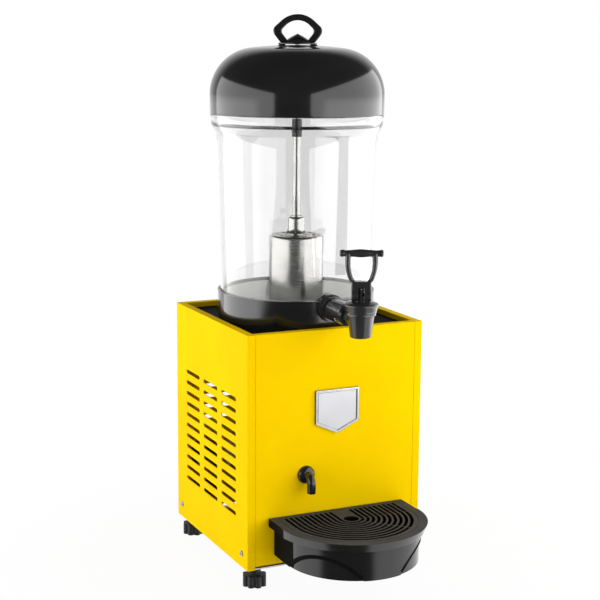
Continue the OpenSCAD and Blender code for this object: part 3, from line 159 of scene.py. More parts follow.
@dataclass(frozen=True)
class Finish:
    """A surface finish whose tone, gloss and relief vary with noise in real millimetres."""

    name: str
    slot: str
    main: str
    second: str
    roughness: tuple[float, float]
    patch_mm: float
    grain_mm: float
    relief_mm: float
    grain: Grain = Grain.EVEN
    metallic: float = 0.0
    ior: float = 1.5
    specular: float = 0.5
    coat: float = 0.0

    def material(self) -> bpy.types.Material:
        """Makes the finish's material, or finds it if it exists.

        Returns:
            The material.
        """
        known = bpy.data.materials.get(self.name)
        if known is not None:
            return known
        material = bpy.data.materials.new(self.name)
        tree = blank(material)
        surface = self.surface(tree, self.shader(tree))
        add_node(tree, "ShaderNodeOutputMaterial", {"Surface": surface})
        return material

    def shader(self, tree: bpy.types.NodeTree) -> bpy.types.Node:
        """Adds the noise patterns and the shader that they drive.

        Args:
            tree: The material's node tree.

        Returns:
            The shader node.
        """
        place = add_node(tree, "ShaderNodeTexCoord").outputs["Object"]
        patches = add_node(tree, "ShaderNodeTexNoise", {
            "Vector": place, "Scale": 1 / (self.patch_mm * MM), "Detail": 2.0}).outputs[0]
        tone = add_node(tree, "ShaderNodeMapRange", {
            "Value": patches, "From Min": TONE_SPAN[0], "From Max": TONE_SPAN[1]}).outputs[0]
        tint = add_node(tree, "ShaderNodeMix", {0: tone, 6: colour(self.main), 7: colour(self.second)},
                        data_type="RGBA").outputs[2]
        drawn = add_node(tree, "ShaderNodeMapping", {
            "Vector": place, "Scale": self.grain.value}).outputs[0]
        grain = add_node(tree, "ShaderNodeTexNoise", {
            "Vector": drawn, "Scale": 1 / (self.grain_mm * MM), "Detail": 3.0}).outputs[0]
        gloss = add_node(tree, "ShaderNodeMapRange", {
            "Value": grain, "From Min": GLOSS_SPAN[0], "From Max": GLOSS_SPAN[1],
            "To Min": self.roughness[0], "To Max": self.roughness[1]}).outputs[0]
        relief = add_node(tree, "ShaderNodeBump", {
            "Strength": 1.0, "Distance": self.relief_mm * MM, "Height": grain}).outputs[0]
        return add_node(tree, "ShaderNodeBsdfPrincipled", {
            "Base Color": tint, "Roughness": gloss, "Normal": relief, "Metallic": self.metallic,
            "IOR": self.ior, "Specular IOR Level": self.specular, "Coat Weight": self.coat,
            "Coat Roughness": 0.08})

    def surface(self, tree: bpy.types.NodeTree, shader: bpy.types.Node) -> bpy.types.NodeSocket:
        """Gives the socket that reaches the material's output."""
        return shader.outputs[0]


@dataclass(frozen=True)
class ClearFinish(Finish):
    """A clear moulding: it bends what is seen through it and lets the lamps' light in."""

    def surface(self, tree: bpy.types.NodeTree, shader: bpy.types.Node) -> bpy.types.NodeSocket:
        """Lets the lamps shine through the clear wall.

        Args:
            tree: The material's node tree.
            shader: The shader of the wall itself.

        Returns:
            The socket that reaches the material's output.
        """
        shader.inputs["Transmission Weight"].default_value = 1.0
        path = add_node(tree, "ShaderNodeLightPath")
        opening = add_node(tree, "ShaderNodeBsdfTransparent", {"Color": colour("#F4F6F6")})
        return add_node(tree, "ShaderNodeMixShader", {
            0: path.outputs["Is Shadow Ray"], 1: shader.outputs[0], 2: opening.outputs[0]}).outputs[0]


# Powder-coated sheet steel: even warm yellow, a satin sheen and a faint orange peel.
# Orange peel is about 1 mm from crest to crest; it is drawn at 2.4 mm so that it shows.
YELLOW = Finish("powder_coated_steel_yellow", "yellow_paint", "#FDD300", "#FACE00", (0.5, 0.58),
                70.0, 2.4, 0.012, specular=0.01)
# Injection-moulded ABS with a polished tool: near black, with soft mirror images of the lamps.
GLOSS_BLACK = Finish("moulded_abs_gloss_black", "black_gloss", "#1B1B1C", "#171718", (0.1, 0.15),
                     40.0, 3.0, 0.004, specular=0.6)
# Glass-filled nylon of the tap, spray head, knob and inlet: near black, with broader and duller highlights.
SATIN_BLACK = Finish("moulded_nylon_satin_black", "black_gloss", "#2A2A2B", "#242425", (0.13, 0.19),
                     20.0, 1.2, 0.005, specular=0.6)
# Moulded ABS of the tray and its grille: near black, and a little duller than the lid.
TRAY_BLACK = Finish("moulded_abs_tray_black", "black_gloss", "#161617", "#121213", (0.14, 0.2),
                    40.0, 3.0, 0.005, specular=0.6)
# Fine-textured ABS on the flat tops of the tray and its grille. It is painted a charcoal grey lighter than
# the tray's own black, as a painted sheen, and has no mirror shine.
# The texture's grain is about 0.3 mm; it is drawn at 1.5 mm so that it shows.
GRILLE_TOP_PAINTED_SHEEN = Finish("textured_abs_painted_sheen_grey", "black_gloss", "#44464A", "#3D3F43", (0.5, 0.6),
                      30.0, 1.5, 0.015, specular=0.04)
# Stove enamel of the deck: flat black with hardly any shine. On the tray's flat sides it gives a darker matt
# black than the tray's own, and on the bands along the arches it is painted shade.
FLAT_BLACK_AND_PAINTED_SHADE = Finish("stove_enamel_flat_black_and_painted_shade", "black_gloss", "#0E0E0F", "#0B0B0C", (0.6, 0.7),
                    30.0, 1.5, 0.01, specular=0.04)
# Clear polycarbonate, moulded: a see-through, faintly grey wall with a hardly visible waviness.
CLEAR = ClearFinish("moulded_polycarbonate_clear", "clear_jar", "#F6F6F6", "#F4F4F4", (0.0, 0.02),
                    60.0, 30.0, 0.001)
# Drawn stainless steel, polished round its axis: bright, with blurred upright bands.
# Polishing lines are about 0.05 mm apart; they are drawn at 0.6 mm so that they show.
STAINLESS = Finish("turned_stainless_steel", "stainless", "#C8C7C4", "#BEBDBA", (0.22, 0.28),
                   30.0, 0.6, 0.0002, Grain.TURNED, metallic=1.0)
# Pressed stainless sheet of the pan: pale, with a blurred, almost matt shine.
PRESSED_STEEL = Finish("pressed_stainless_sheet", "stainless", "#DCDCDA", "#D4D4D2", (0.42, 0.52),
                       24.0, 1.2, 0.003, metallic=0.2)
# Zinc-plated steel: greyer, with soft spangles.
ZINC = Finish("zinc_plated_steel", "zinc_steel", "#B9BAB8", "#A4A6A5", (0.3, 0.42),
              6.0, 1.5, 0.004, metallic=1.0)
# Brushed nickel plate of the badge: fine upright brushing on a bright, slightly cool metal.
# Brushing lines are about 0.1 mm apart; they are drawn at 0.5 mm so that they show.
BADGE_FIELD = Finish("brushed_nickel_plate", "silver_badge", "#B6B6B8", "#AEAEB1", (0.34, 0.44),
                     60.0, 0.5, 0.002, Grain.DRAWN, metallic=1.0)
# Bright chrome plate of the badge's border: a clean mirror.
BADGE_BORDER = Finish("bright_chrome_plate", "silver_badge", "#B8B8BA", "#ADADB0", (0.08, 0.14),
                      12.0, 2.0, 0.002, metallic=1.0)
# Moulded rubber of the feet and seals: dull black with a fine tooth.
# The tooth is about 0.2 mm wide; it is drawn at 0.9 mm so that it shows.
RUBBER = Finish("moulded_rubber_black", "black_rubber", "#1A1A1A", "#222222", (0.5, 0.62),
                15.0, 0.9, 0.02)
# Drawn copper tube: warm, with darker patches where it was heated.
COPPER = Finish("drawn_copper_tube", "copper_pipe", "#C77B58", "#9C5A40", (0.24, 0.36),
                14.0, 1.0, 0.003, metallic=1.0)
# Aluminium fins: fins 2 mm apart, so the block shows fine dark and light lines.
FINS = Finish("pressed_aluminium_fins", "fin_aluminium", "#C4C6C8", "#8F9294", (0.3, 0.5),
              25.0, 2.0, 0.05, Grain.FINNED, metallic=1.0)
# Stoved black paint of the compressor shell: half gloss with a slight dust.
SHELL_PAINT = Finish("stoved_black_paint", "compressor_paint", "#17181A", "#24262A", (0.28, 0.4),
                     22.0, 2.0, 0.01)
# Natural acetal: milky white and waxy.
ACETAL = Finish("moulded_acetal_white", "white_plastic", "#E8E7E2", "#DEDCD5", (0.3, 0.4),
                12.0, 1.0, 0.006)
# Soft PVC hose: translucent grey white.
HOSE = Finish("extruded_pvc_hose", "hose_plastic", "#D5D8D6", "#C4C8C6", (0.25, 0.35),
              12.0, 1.5, 0.006)
# Stoved grey paint of the motor cans: even, with a soft half gloss.
MOTOR_PAINT = Finish("stoved_grey_paint", "motor_paint", "#6E7277", "#62666B", (0.35, 0.45),
                     18.0, 1.4, 0.01)
# Clear red polycarbonate of the rocker: deep red with a glossy face.
RED = Finish("moulded_polycarbonate_red", "red_rocker", "#B3261E", "#9C1F19", (0.14, 0.2),
             10.0, 1.5, 0.004, coat=0.3)

BY_SLOT: dict[str, Finish] = {f.slot: f for f in (
    YELLOW, GLOSS_BLACK, CLEAR, STAINLESS, ZINC, BADGE_FIELD, RUBBER, COPPER, FINS, SHELL_PAINT, ACETAL,
    HOSE, MOTOR_PAINT, RED)}


def take(obj: bpy.types.Object) -> None:
    """Makes one object the only selected one, and the active one.

    Args:
        obj: The object.
    """
    bpy.ops.object.select_all(action="DESELECT")
    obj.select_set(True)
    bpy.context.view_layer.objects.active = obj


def name_new(name: str) -> bpy.types.Object:
    """Names the object that an operator has just added.

    Args:
        name: The new name.

    Returns:
        The object.
    """
    obj = bpy.context.object
    obj.name = name
    obj.data.name = name
    return obj


def another(name: str, obj: bpy.types.Object) -> bpy.types.Object:
    """Copies an object, with a mesh of its own.

    Args:
        name: The copy's name.
        obj: The object that is copied.

    Returns:
        The copy.
    """
    twin = bpy.data.objects.new(name, obj.data.copy())
    bpy.context.scene.collection.objects.link(twin)
    return twin


def box_mm(node: str) -> tuple[Vector, Vector]:
    """Gives a CAD node's lowest and highest corner, in millimetres."""
    low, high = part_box(node)
    return low / MM, high / MM


def pick(obj: bpy.types.Object, kind: Pick, test: Callable[[Vector, Vector], bool]) -> None:
    """Selects parts of a mesh by their place and direction, and stays in edit mode.

    Args:
        obj: The object that is edited.
        kind: What is selected.
        test: Takes a middle in millimetres and a normal, or an edge's direction.
    """
    if obj.mode != "EDIT":
        bpy.ops.object.mode_set(mode="EDIT")
    bpy.ops.mesh.select_mode(type=kind.value)
    bpy.ops.mesh.select_all(action="DESELECT")
    bpy.ops.object.mode_set(mode="OBJECT")
    mesh = obj.data
    if kind is Pick.FACES:
        for face in mesh.polygons:
            face.select = test(face.center / MM, face.normal)
    elif kind is Pick.EDGES:
        for edge in mesh.edges:
            a, b = (mesh.vertices[i].co for i in edge.vertices)
            edge.select = test((a + b) / 2 / MM, (b - a).normalized())
    else:
        for point in mesh.vertices:
            point.select = test(point.co / MM, point.normal)
    bpy.ops.object.mode_set(mode="EDIT")


def push(x_mm: float, y_mm: float, z_mm: float) -> None:
    """Extrudes what is selected by a step."""
    bpy.ops.mesh.extrude_region_move(TRANSFORM_OT_translate={"value": (x_mm * MM, y_mm * MM, z_mm * MM)})


def inset(width_mm: float) -> None:
    """Draws in the border of the selected faces."""
    bpy.ops.mesh.inset(thickness=width_mm * MM, depth=0)


def leave() -> None:
    """Goes back to object mode."""
    bpy.ops.object.mode_set(mode="OBJECT")


def close_up(merge_mm: float = 0.0) -> None:
    """Ends an edit with all faces turned outwards.

    Args:
        merge_mm: Points closer than this are merged first.
    """
    bpy.ops.mesh.select_all(action="SELECT")
    if merge_mm:
        bpy.ops.mesh.remove_doubles(threshold=merge_mm * MM)
    bpy.ops.mesh.normals_make_consistent(inside=False)
    leave()


def apply_all(obj: bpy.types.Object) -> None:
    """Applies an object's modifiers in order.

    Args:
        obj: The object.
    """
    take(obj)
    for modifier in list(obj.modifiers):
        bpy.ops.object.modifier_apply(modifier=modifier.name)


def set_down(obj: bpy.types.Object) -> None:
    """Puts an object's place, turn and scale into its mesh."""
    take(obj)
    bpy.ops.object.transform_apply(location=True, rotation=True, scale=True)


def put(obj: bpy.types.Object, place_mm: Sequence[float], turn: Sequence[float] = Axis.UP.value) -> None:
    """Turns an object, moves it and puts both into its mesh.

    Args:
        obj: The object.
        place_mm: Where its origin goes.
        turn: Its turns about X, Y and Z.
    """
    obj.rotation_euler = turn
    obj.location = Vector(place_mm) * MM
    set_down(obj)


def about_z(degrees: float) -> Place:
    """Gives the turns about X, Y and Z for a turn about the upright axis."""
    return 0.0, 0.0, math.radians(degrees)


def smooth(obj: bpy.types.Object, degrees: float = 35.0) -> None:
    """Shades a mesh smooth, apart from edges sharper than an angle."""
    take(obj)
    bpy.ops.object.shade_smooth_by_angle(angle=math.radians(degrees))


def round_edges(obj: bpy.types.Object, width_mm: float, segments: int = 2) -> None:
    """Rounds a mesh's sharp edges, keeps its flat faces flat and applies the modifiers.

    Args:
        obj: The piece.
        width_mm: Width of the rounding.
        segments: Steps across it.
    """
    take(obj)
    bpy.ops.object.shade_smooth()
    edge = obj.modifiers.new("edge", "BEVEL")
    edge.width = width_mm * MM
    edge.segments = segments
    edge.limit_method = "ANGLE"
    edge.angle_limit = math.radians(40)
    edge.harden_normals = False
    flat = obj.modifiers.new("flat", "WEIGHTED_NORMAL")
    flat.keep_sharp = True
    apply_all(obj)


def rounded(corners: Corners, steps: int = 5) -> Outline:
    """Rounds the corners of an outline.

    Args:
        corners: Two coordinates and a radius for each corner, in millimetres.
        steps: Steps round each corner.

    Returns:
        The outline's points.
    """
    points: Outline = []
    for i, (x, y, radius) in enumerate(corners):
        here = Vector((x, y))
        if radius == 0 or i in (0, len(corners) - 1):
            points.append((x, y))
            continue
        before = (Vector(corners[i - 1][:2]) - here).normalized()
        after = (Vector(corners[i + 1][:2]) - here).normalized()
        half = before.angle(after) / 2
        back = radius / math.tan(half)
        middle = here + (before + after).normalized() * (radius / math.sin(half))
        start = here + before * back - middle
        swing = start.angle_signed(here + after * back - middle)
        for k in range(steps + 1):
            turn = -swing * k / steps
            spoke = Vector((start.x * math.cos(turn) - start.y * math.sin(turn),
                            start.x * math.sin(turn) + start.y * math.cos(turn)))
            points.append(tuple(middle + spoke))
    return points


def trace(name: str, points_mm: Sequence[Place]) -> bpy.types.Object:
    """Draws a line from point to point, starting from a plane merged to its middle, and stays in edit mode.

    Args:
        name: The new object's name.
        points_mm: The line's points.

    Returns:
        The object, with the whole line selected.
    """
    bpy.ops.object.select_all(action="DESELECT")
    bpy.ops.mesh.primitive_plane_add(size=MM)
    obj = name_new(name)
    bpy.ops.object.mode_set(mode="EDIT")
    bpy.ops.mesh.select_mode(type="VERT")
    bpy.ops.mesh.select_all(action="SELECT")
    bpy.ops.mesh.merge(type="CENTER")
    bpy.ops.transform.translate(value=[c * MM for c in points_mm[0]])
    for before, after in zip(points_mm, points_mm[1:]):
        push(*(b - a for a, b in zip(before, after)))
    bpy.ops.mesh.select_all(action="SELECT")
    return obj


def turn_piece(name: str, outline: Outline, centre_mm: Place = (0, 0, 0), axis: Axis = Axis.UP,
               steps: int = 96, degrees: float = 35.0) -> bpy.types.Object:
    """Turns an outline round an axis, as on a lathe.

    Args:
        name: The piece's name.
        outline: Radius and height of each point, in millimetres.
        centre_mm: Where the axis has height zero.
        axis: Where the axis points.
        steps: Steps round the axis.
        degrees: Edges sharper than this stay sharp.

    Returns:
        The turned piece.
    """
    obj = trace(name, [(r, 0.0, z) for r, z in outline])
    bpy.ops.mesh.spin(steps=steps, angle=2 * math.pi, center=(0.0, 0.0, 0.0), axis=(0.0, 0.0, 1.0))
    close_up(MERGE)
    put(obj, centre_mm, axis.value)
    smooth(obj, degrees)
    return obj


def plate_piece(name: str, outline: Sequence[tuple[float, float]], thick_mm: float) -> bpy.types.Object:
    """Cuts an upright plate to an outline, with its middle in the XZ plane.

    Args:
        name: The piece's name.
        outline: X and Z of each point, in millimetres.
        thick_mm: Thickness along Y.

    Returns:
        The plate.
    """
    obj = trace(name, [(x, -thick_mm / 2, z) for x, z in outline])
    bpy.ops.mesh.edge_face_add()
    push(0, thick_mm, 0)
    close_up()
    return obj


def bend_bar(name: str, path_mm: Sequence[Place], radii_mm: Sequence[float],
             sides: int = 20) -> bpy.types.Object:
    """Bends a round bar of changing thickness along a path.

    Args:
        name: The piece's name.
        path_mm: Points of its middle line.
        radii_mm: Its radius at each point.
        sides: Steps round the bar.

    Returns:
        The bar, as a mesh.
    """
    bpy.ops.object.select_all(action="DESELECT")
    bpy.ops.curve.primitive_bezier_curve_add()
    obj = name_new(name)
    curve = obj.data
    curve.splines.clear()
    spline = curve.splines.new("POLY")
    spline.points.add(len(path_mm) - 1)
    for point, place, radius in zip(spline.points, path_mm, radii_mm):
        point.co = (*(Vector(place) * MM), 1.0)
        point.radius = radius
    spline.use_smooth = True
    curve.dimensions = "3D"
    curve.bevel_depth = MM
    curve.bevel_resolution = max(1, sides // 4 - 1)
    curve.use_fill_caps = True
    take(obj)
    bpy.ops.object.convert(target="MESH")
    obj = name_new(name)
    bpy.ops.object.mode_set(mode="EDIT")
    close_up(MERGE / 2)
    smooth(obj, 50)
    return obj


def block(name: str, low_mm: Place, high_mm: Place) -> bpy.types.Object:
    """Adds a block between two corners, as a start or a cutter.

    Args:
        name: The block's name.
        low_mm: Its lowest corner.
        high_mm: Its highest corner.

    Returns:
        The block.
    """
    bpy.ops.object.select_all(action="DESELECT")
    low, high = Vector(low_mm) * MM, Vector(high_mm) * MM
    bpy.ops.mesh.primitive_cube_add(size=1.0, location=(low + high) / 2, scale=high - low)
    obj = name_new(name)
    set_down(obj)
    return obj


def cut_away(obj: bpy.types.Object, cutter: bpy.types.Object) -> None:
    """Cuts one mesh out of another and removes the cutter.

    Args:
        obj: The mesh that is cut.
        cutter: What is cut out of it.
    """
    cut = obj.modifiers.new("cut", "BOOLEAN")
    cut.operation = "DIFFERENCE"
    cut.solver = "EXACT"
    cut.object = cutter
    apply_all(obj)
    bpy.data.objects.remove(cutter)


def merge_pieces(name: str, pieces: Sequence[bpy.types.Object]) -> bpy.types.Object:
    """Joins objects into the first of them.

    Args:
        name: The joined object's name.
        pieces: The objects.

    Returns:
        The joined object.
    """
    take(pieces[0])
    for piece in pieces[1:]:
        piece.select_set(True)
    bpy.ops.object.join()
    return name_new(name)


def copy_of(nodes: Nodes, node: str) -> bpy.types.Object:
    """Copies a CAD node's mesh for dressing: merged, with its flat faces made whole.

    Args:
        nodes: The frame's nodes.
        node: The node's name.

    Returns:
        The copy.
    """
    obj = another(f"{node}_dressed", nodes[node])
    obj.data.materials.clear()
    take(obj)
    bpy.ops.mesh.customdata_custom_splitnormals_clear()
    bpy.ops.object.mode_set(mode="EDIT")
    bpy.ops.mesh.select_all(action="SELECT")
    bpy.ops.mesh.remove_doubles(threshold=MERGE * MM)
    bpy.ops.mesh.dissolve_limited(angle_limit=math.radians(0.4))
    leave()
    return obj


def settle(obj: bpy.types.Object, finish: Finish, body: str, *nodes: str) -> None:
    """Gives a new piece its finish, its body and the CAD nodes that it stands for.

    Args:
        obj: The piece.
        finish: Its finish, unless its faces already have materials.
        body: The body that it rides on.
        nodes: The nodes that it replaces.
    """
    if not obj.data.materials:
        obj.data.materials.append(finish.material())
    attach(obj, body)
    if nodes:
        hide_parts(*nodes)
    LOG.info("%s: %d faces, on %s", obj.name, len(obj.data.polygons), body)


def dress_copy(nodes: Nodes, node: str, finish: Finish, body: str, edge_mm: float, segments: int = 2) -> None:
    """Puts a copy with rounded edges in a CAD node's place.

    Args:
        nodes: The frame's nodes.
        node: The node's name.
        finish: The copy's finish.
        body: The body that it rides on.
        edge_mm: Width of the rounding.
        segments: Steps across the rounding.
    """
    piece = copy_of(nodes, node)
    round_edges(piece, edge_mm, segments)
    settle(piece, finish, body, node)


@dataclass
class Cabinet:
    """The sheet-metal case with its deck, badge, drain elbow and screws."""

    nodes: Nodes
    fold_r: float = 1.1
    sheet_edge: float = 0.3
    deck_edge: float = 0.4
    screw_r: float = 3.5
    screw_h: float = 1.8
    screw_dome: float = 1.4
    cross_w: float = 0.9
    cross_l: float = 4.2
    cross_deep: float = 0.9
    badge_point: float = 12.5
    badge_border: float = 2.4
    badge_groove: float = 0.9
    groove_deep: float = 1.3
    field_rise: float = 0.6
    badge_edge: float = 0.35
    base_rim: float = 0.6
    base_h: float = 6.4
    tube_r: float = 5.0
    tube_out: float = 7.0
    tube_bend: float = 8.0
    tube_drop: float = 10.0
    tube_wall: float = 1.3
    tube_deep: float = 6.0
    tube_edge: float = 0.5
    tail_r: float = 4.0
    tail_l: float = 13.0

    def build(self) -> None:
        """Builds the case's pieces."""
        self.panels()
        self.screws()
        self.badge()
        self.elbow()

    def panels(self) -> None:
        """Rounds the folded corners and edges of the case's sheets."""
        for node in ("left_side_panel", "right_side_panel"):
            panel = copy_of(self.nodes, node)
            low, high = box_mm(node)
            side = low.x if abs(low.x) > abs(high.x) else high.x
            pick(panel, Pick.EDGES, lambda p, d: abs(d.z) > STRAIGHT and abs(p.x - side) < NEAR
                 and min(abs(p.y - low.y), abs(p.y - high.y)) < NEAR)
            bpy.ops.mesh.bevel(offset=self.fold_r * MM, segments=4, affect="EDGES")
            leave()
            round_edges(panel, self.sheet_edge)
            settle(panel, YELLOW, "cabinet", node)
        for node in ("front_panel", "back_panel"):
            dress_copy(self.nodes, node, YELLOW, "cabinet", self.sheet_edge)
        dress_copy(self.nodes, "top_deck", FLAT_BLACK_AND_PAINTED_SHADE, "cabinet", self.deck_edge)

    def screws(self) -> None:
        """Models one pan-head screw and copies it to its four places."""
        low, high = box_mm("panel_screws")
        side = box_mm("left_side_panel")[0].x
        radius, top = self.screw_r, self.screw_h
        head = turn_piece("panel_screw", rounded([
            (0, -1, 0), (radius - 0.4, -1, 0), (radius - 0.2, 0, 0), (radius, 0, 0),
            (radius, top, self.screw_dome), (0, top, 0)]), steps=40)
        for x, y in ((self.cross_w, self.cross_l), (self.cross_l, self.cross_w)):
            cut_away(head, block("cross", (-x / 2, -y / 2, top - self.cross_deep), (x / 2, y / 2, top + 1)))
        smooth(head, 30)
        half = (high.z - low.z) / 2
        spots = [(x, y, axis) for x, axis in ((side, Axis.LEFT), (-side, Axis.RIGHT))
                 for y in (low.y + half, high.y - half)]
        screws = [head, *(another("panel_screw", head) for _ in spots[1:])]
        for screw, (x, y, axis) in zip(screws, spots):
            put(screw, (x, y, low.z + half), axis.value)
        settle(merge_pieces("panel_screws_dressed", screws), ZINC, "cabinet", "panel_screws")

    def badge(self) -> None:
        """Models the bare shield: a bright border, a groove and a brushed field."""
        low, high = box_mm("badge_plate")
        bpy.ops.object.select_all(action="DESELECT")
        bpy.ops.mesh.primitive_plane_add(size=MM)
        badge = name_new("badge_dressed")
        badge.scale = (high.x - low.x, high.z - low.z, 1.0)
        put(badge, (0, high.y, (high.z + low.z) / 2), Axis.FRONT.value)
        pick(badge, Pick.EDGES, lambda p, d: abs(p.z - low.z) < NEAR)
        bpy.ops.mesh.subdivide(number_cuts=1)
        pick(badge, Pick.POINTS, lambda p, n: abs(p.z - low.z) < NEAR and abs(p.x) > 1)
        bpy.ops.transform.translate(value=(0, 0, self.badge_point * MM))
        pick(badge, Pick.FACES, lambda p, n: True)
        push(0, low.y - high.y, 0)
        inset(self.badge_border)
        push(0, self.groove_deep, 0)
        inset(self.badge_groove)
        push(0, -self.field_rise, 0)
        close_up()
        for finish in (BADGE_BORDER, BADGE_FIELD, GLOSS_BLACK):
            badge.data.materials.append(finish.material())
        field_x = high.x - self.badge_border - self.badge_groove
        for face in badge.data.polygons:
            reach = max(abs(badge.data.vertices[i].co.x / MM) for i in face.vertices)
            if reach < field_x + 0.1 and face.normal.y < -0.9:
                face.material_index = 1
            elif reach > high.x - 0.1 and abs(face.normal.y) < 0.1:
                face.material_index = 2
        round_edges(badge, self.badge_edge, 3)
        settle(badge, BADGE_BORDER, "cabinet", "badge_plate")

    def elbow(self) -> None:
        """Models the drain elbow: a domed base and a tube that turns down to an open end."""
        low, high = box_mm("drain_elbow")
        base_r = (high.x - low.x) / 2
        x, z = (low.x + high.x) / 2, high.z - base_r
        front = box_mm("front_panel")[0].y
        arc = [math.radians(a) for a in range(10, 91, 10)]
        base = turn_piece("drain_base", [
            (0, -0.2), (base_r, -0.2), (base_r, self.base_rim),
            *((base_r * math.cos(a), self.base_rim + self.base_h * math.sin(a)) for a in arc)],
            (x, front, z), Axis.FRONT, 48)
        bpy.ops.object.select_all(action="DESELECT")
        bpy.ops.mesh.primitive_circle_add(vertices=32, radius=self.tube_r * MM, fill_type="NGON")
        tube = name_new("drain_tube")
        put(tube, (x, front - 1, z), Axis.FRONT.value)
        pick(tube, Pick.FACES, lambda p, n: True)
        push(0, 1 - self.tube_out, 0)
        centre = Vector((x, front - self.tube_out, z - self.tube_bend)) * MM
        bpy.ops.mesh.spin(steps=10, angle=-math.pi / 2, center=centre, axis=(1, 0, 0))
        leave()
        tip = min(point.co.z for point in tube.data.vertices) / MM
        pick(tube, Pick.FACES, lambda p, n: abs(n.z) > STRAIGHT and p.z < tip + 0.1)
        push(0, 0, -self.tube_drop)
        inset(self.tube_wall)
        push(0, 0, self.tube_deep)
        close_up(MERGE)
        round_edges(tube, self.tube_edge)
        tail = turn_piece("drain_tail", [
            (0, self.tail_l), (self.tail_r, self.tail_l), (self.tail_r, 0), (0, 0)],
            (x, front, z), Axis.BACK, 32)
        elbow = merge_pieces("drain_elbow_dressed", [base, tube, tail])
        settle(elbow, GLOSS_BLACK, "cabinet", "drain_elbow")


@dataclass
class JarSet:
    """The clear jar on its base ring, with the steel pan inside it."""

    nodes: Nodes
    foot_r: float = 89.7
    top_r: float = 93.8
    rim_r: float = 101.2
    neck_r: float = 98.5
    foot_h: float = 36.4
    foot_up: float = 8.0
    foot_edge: float = 0.6
    height: float = 230.3
    wall: float = 3.0
    flare_h: float = 30.0
    band_h: float = 5.0
    neck_h: float = 10.0
    neck_edge: float = 1.2
    ledge_down: float = 12.0
    throat_r: float = 95.0
    throat_up: float = 16.0
    ring_edge: float = 0.8
    pan_edge: float = 0.35

    def outer(self, z: float) -> float:
        """Gives the jar's outer radius at a height.

        Args:
            z: Height above the jar's foot, in millimetres.

        Returns:
            The radius, in millimetres.
        """
        flare = self.height - self.band_h - self.flare_h
        if z <= self.foot_h:
            return self.foot_r
        if z <= flare:
            return self.foot_r + (self.top_r - self.foot_r) * (z - self.foot_h) / (flare - self.foot_h)
        share = min(1.0, (z - flare) / self.flare_h)
        return self.top_r + (self.rim_r - self.top_r) * (1 - math.cos(math.pi * share)) / 2

    def build(self) -> None:
        """Builds the jar, the ring and the pan."""
        low, high = box_mm("jar")
        top, neck_top = self.height, self.height + self.neck_h
        flare = top - self.band_h - self.flare_h
        ledge, throat = top - self.ledge_down, flare + self.throat_up
        neck_in, foot_in = self.neck_r - self.wall, self.foot_r - self.wall
        rise = [self.foot_h, (self.foot_h + flare) / 2, *(flare + self.flare_h * k / 16 for k in range(17))]
        outside = [(self.outer(z), z) for z in rise]
        rim = rounded([
            (self.rim_r, top - self.band_h + 0.2, 0), (self.rim_r, top, 0.8), (self.neck_r, top, 0.5),
            (self.neck_r, neck_top, self.neck_edge), (neck_in, neck_top, self.neck_edge),
            (neck_in, ledge, 0.4), (self.outer(ledge - 1) - self.wall - 0.15, ledge - 0.4, 0.2),
            (min(self.outer(throat) - self.wall, self.throat_r), throat, 0)])
        inside = [(self.outer(z) - self.wall, z) for z in reversed(rise) if z < throat - 1]
        foot = rounded([
            (foot_in, self.foot_up, 0), (foot_in, 0, self.foot_edge), (self.foot_r, 0, self.foot_edge),
            (self.foot_r, self.foot_up, 0)])
        jar = turn_piece("jar_dressed", outside + rim + inside + foot + outside[:1],
                         (0, (low.y + high.y) / 2, low.z), steps=144, degrees=40)
        settle(jar, CLEAR, "cabinet", "jar")
        dress_copy(self.nodes, "jar_base_ring", GLOSS_BLACK, "cabinet", self.ring_edge, 3)
        dress_copy(self.nodes, "jar_pan", PRESSED_STEEL, "cabinet", self.pan_edge)


